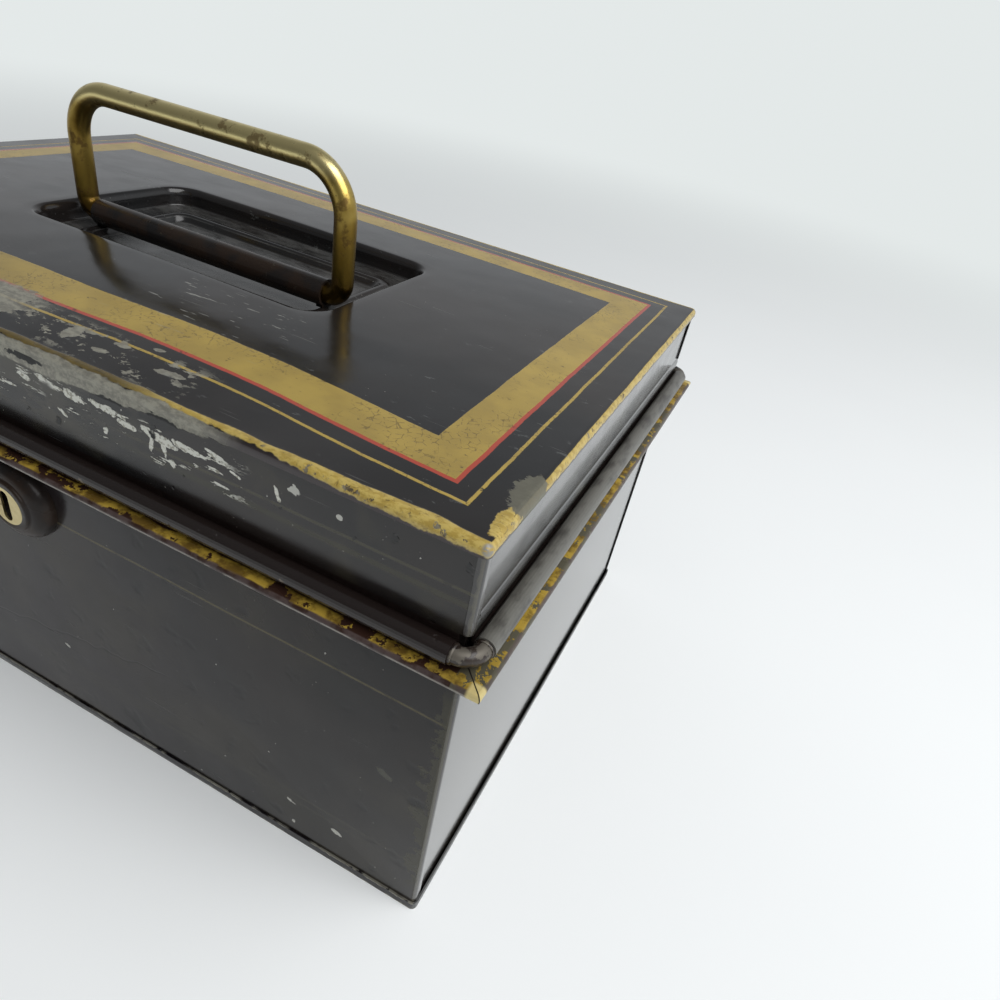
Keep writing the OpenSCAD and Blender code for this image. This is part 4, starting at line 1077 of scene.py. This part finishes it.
# %% Rivets of the hinge straps
rivet = lathe("rivet", [(0, -2.0), (1.3, -1.9), (2.1, -1.6), (2.4, -1.2), (1.2, -1.2), (1.2, 0),
                        (2.4, 0), (2.3, 0.3), (1.9, 0.55), (1.2, 0.74), (0, 0.8)])
low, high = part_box("hinge_rivets")
heights = [low.z + 2.4 * MM, high.z - 2.4 * MM]
spots = [(side * 95 * MM, HALF_Y, z) for side in (-1, 1) for z in heights]
rivets = set_parts("hinge_rivet_heads", rivet, spots, [(-math.pi / 2, 0, 0)] * 4, "strap")
finish_piece(rivets, ["hinge_rivets"], "strap")

# %% Screws of the lock cap
screw = lathe("cap_screw", [(0, 0.8), (1.8, 0.8), (1.8, 12.2), (0.9, 12.2), (0.9, 13.0), (2.0, 13.0),
                            (1.95, 13.35), (1.6, 13.8), (0.5, 14.0), (0.5, 13.6), (0, 13.6)])
low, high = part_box("lock_cap_screws")
spots = [(x, -HALF_Y + TIN, (low.z + high.z) / 2) for x in (low.x + 2 * MM, high.x - 2 * MM)]
screws = set_parts("cap_screws", screw, spots, [(-math.pi / 2, 0, 0)] * 2, "tin")
finish_piece(screws, ["lock_cap_screws"], "tin")

# %% [markdown]
# ## Floor, light and camera
#
# The photograph was taken on white paper in soft daylight. A pale floor and an even white sky
# do most of it, since black gloss shows little but what it mirrors. One broad lamp adds the soft
# highlight on the brass. The camera stands where a fit of the box's corners put it.

# %% Floor
BACKDROP = (0.775, 0.815, 0.812, 1)


def floor_finish():
    """Paper near the box, which takes its shadow, and the even tone of the backdrop far away."""
    f = Finish("paper")
    colour = f.coat((0.92, 0.94, 0.94, 1), (0.89, 0.91, 0.915, 1), f.grain(160, 2))
    paper = f.node("ShaderNodeBsdfDiffuse", inputs={"Color": colour})
    glow = f.node("ShaderNodeEmission", inputs={"Color": BACKDROP, "Strength": 1.0})
    away = f.math("SQRT", f.x * f.x + f.y * f.y)
    path = f.node("ShaderNodeLightPath").outputs
    shown = f.most(Value(f, path["Is Camera Ray"]), Value(f, path["Is Glossy Ray"]))
    mixed = f.node("ShaderNodeMixShader", inputs={0: f.above(away, 950, 600) * shown, 1: paper.outputs[0],
                                                  2: glow.outputs[0]})
    f.node("ShaderNodeOutputMaterial", inputs={"Surface": mixed.outputs[0]})
    return f.material


bpy.ops.mesh.primitive_plane_add(size=12)
floor = bpy.context.object
floor.name = "floor"
floor.data.materials.append(floor_finish())

# %% Light
world = bpy.data.worlds.new("daylight")
bpy.context.scene.world = world
world.use_nodes = True
world.node_tree.nodes.clear()
sky = Finish.__new__(Finish)
Bench.__init__(sky, world.node_tree)
east, north, high_up = sky.split(sky.node("ShaderNodeTexCoord").outputs["Generated"])
behind = sky.above(north, 0.1, 0.45)
overhead = sky.above(high_up, 0.62, 0.25)
level = 0.16 + behind * 0.40 + sky.above(east, 0.35, 0.4) * 0.25
level = sky.level(level, 0.20, overhead)
room = sky.node("ShaderNodeBackground", inputs={"Color": (0.94, 0.97, 1.0, 1), "Strength": level})
wall = sky.node("ShaderNodeBackground", inputs={"Color": BACKDROP, "Strength": 1.0})
seen = sky.node("ShaderNodeLightPath").outputs["Is Camera Ray"]
mixed = sky.node("ShaderNodeMixShader", inputs={0: seen, 1: room.outputs[0], 2: wall.outputs[0]})
sky.node("ShaderNodeOutputWorld", inputs={"Surface": mixed.outputs[0]})


def lamp(name, place, size, energy, aim=(0, 0, 0.05)):
    data = bpy.data.lights.new(name, "AREA")
    data.shape = "RECTANGLE"
    data.size, data.size_y = size
    data.energy = energy
    made = bpy.data.objects.new(name, data)
    made.location = place
    made.rotation_euler = (Vector(aim) - made.location).to_track_quat("-Z", "Y").to_euler()
    bpy.context.scene.collection.objects.link(made)


lamp("window", (1.0, -0.25, 1.35), (1.5, 1.5), 28)

# %% Camera
camera_data = bpy.data.cameras.new("camera")
camera_data.sensor_width = 36
camera_data.lens = 25.651
camera_data.clip_start = 0.01
camera = bpy.data.objects.new("camera", camera_data)
right = Vector((0.88935, 0.42334, 0.17275)).normalized()
ahead = Vector((-0.26518, 0.78535, -0.55937)).normalized()
up = right.cross(ahead)
turn = Matrix((right, up, -ahead)).transposed()
camera.matrix_world = Matrix.Translation((0.18399, -0.19799, 0.22585)) @ turn.to_4x4()
bpy.context.scene.collection.objects.link(camera)
bpy.context.scene.camera = camera
bpy.context.scene.view_settings.view_transform = "Standard"
print("camera at", [round(v, 3) for v in camera.location])
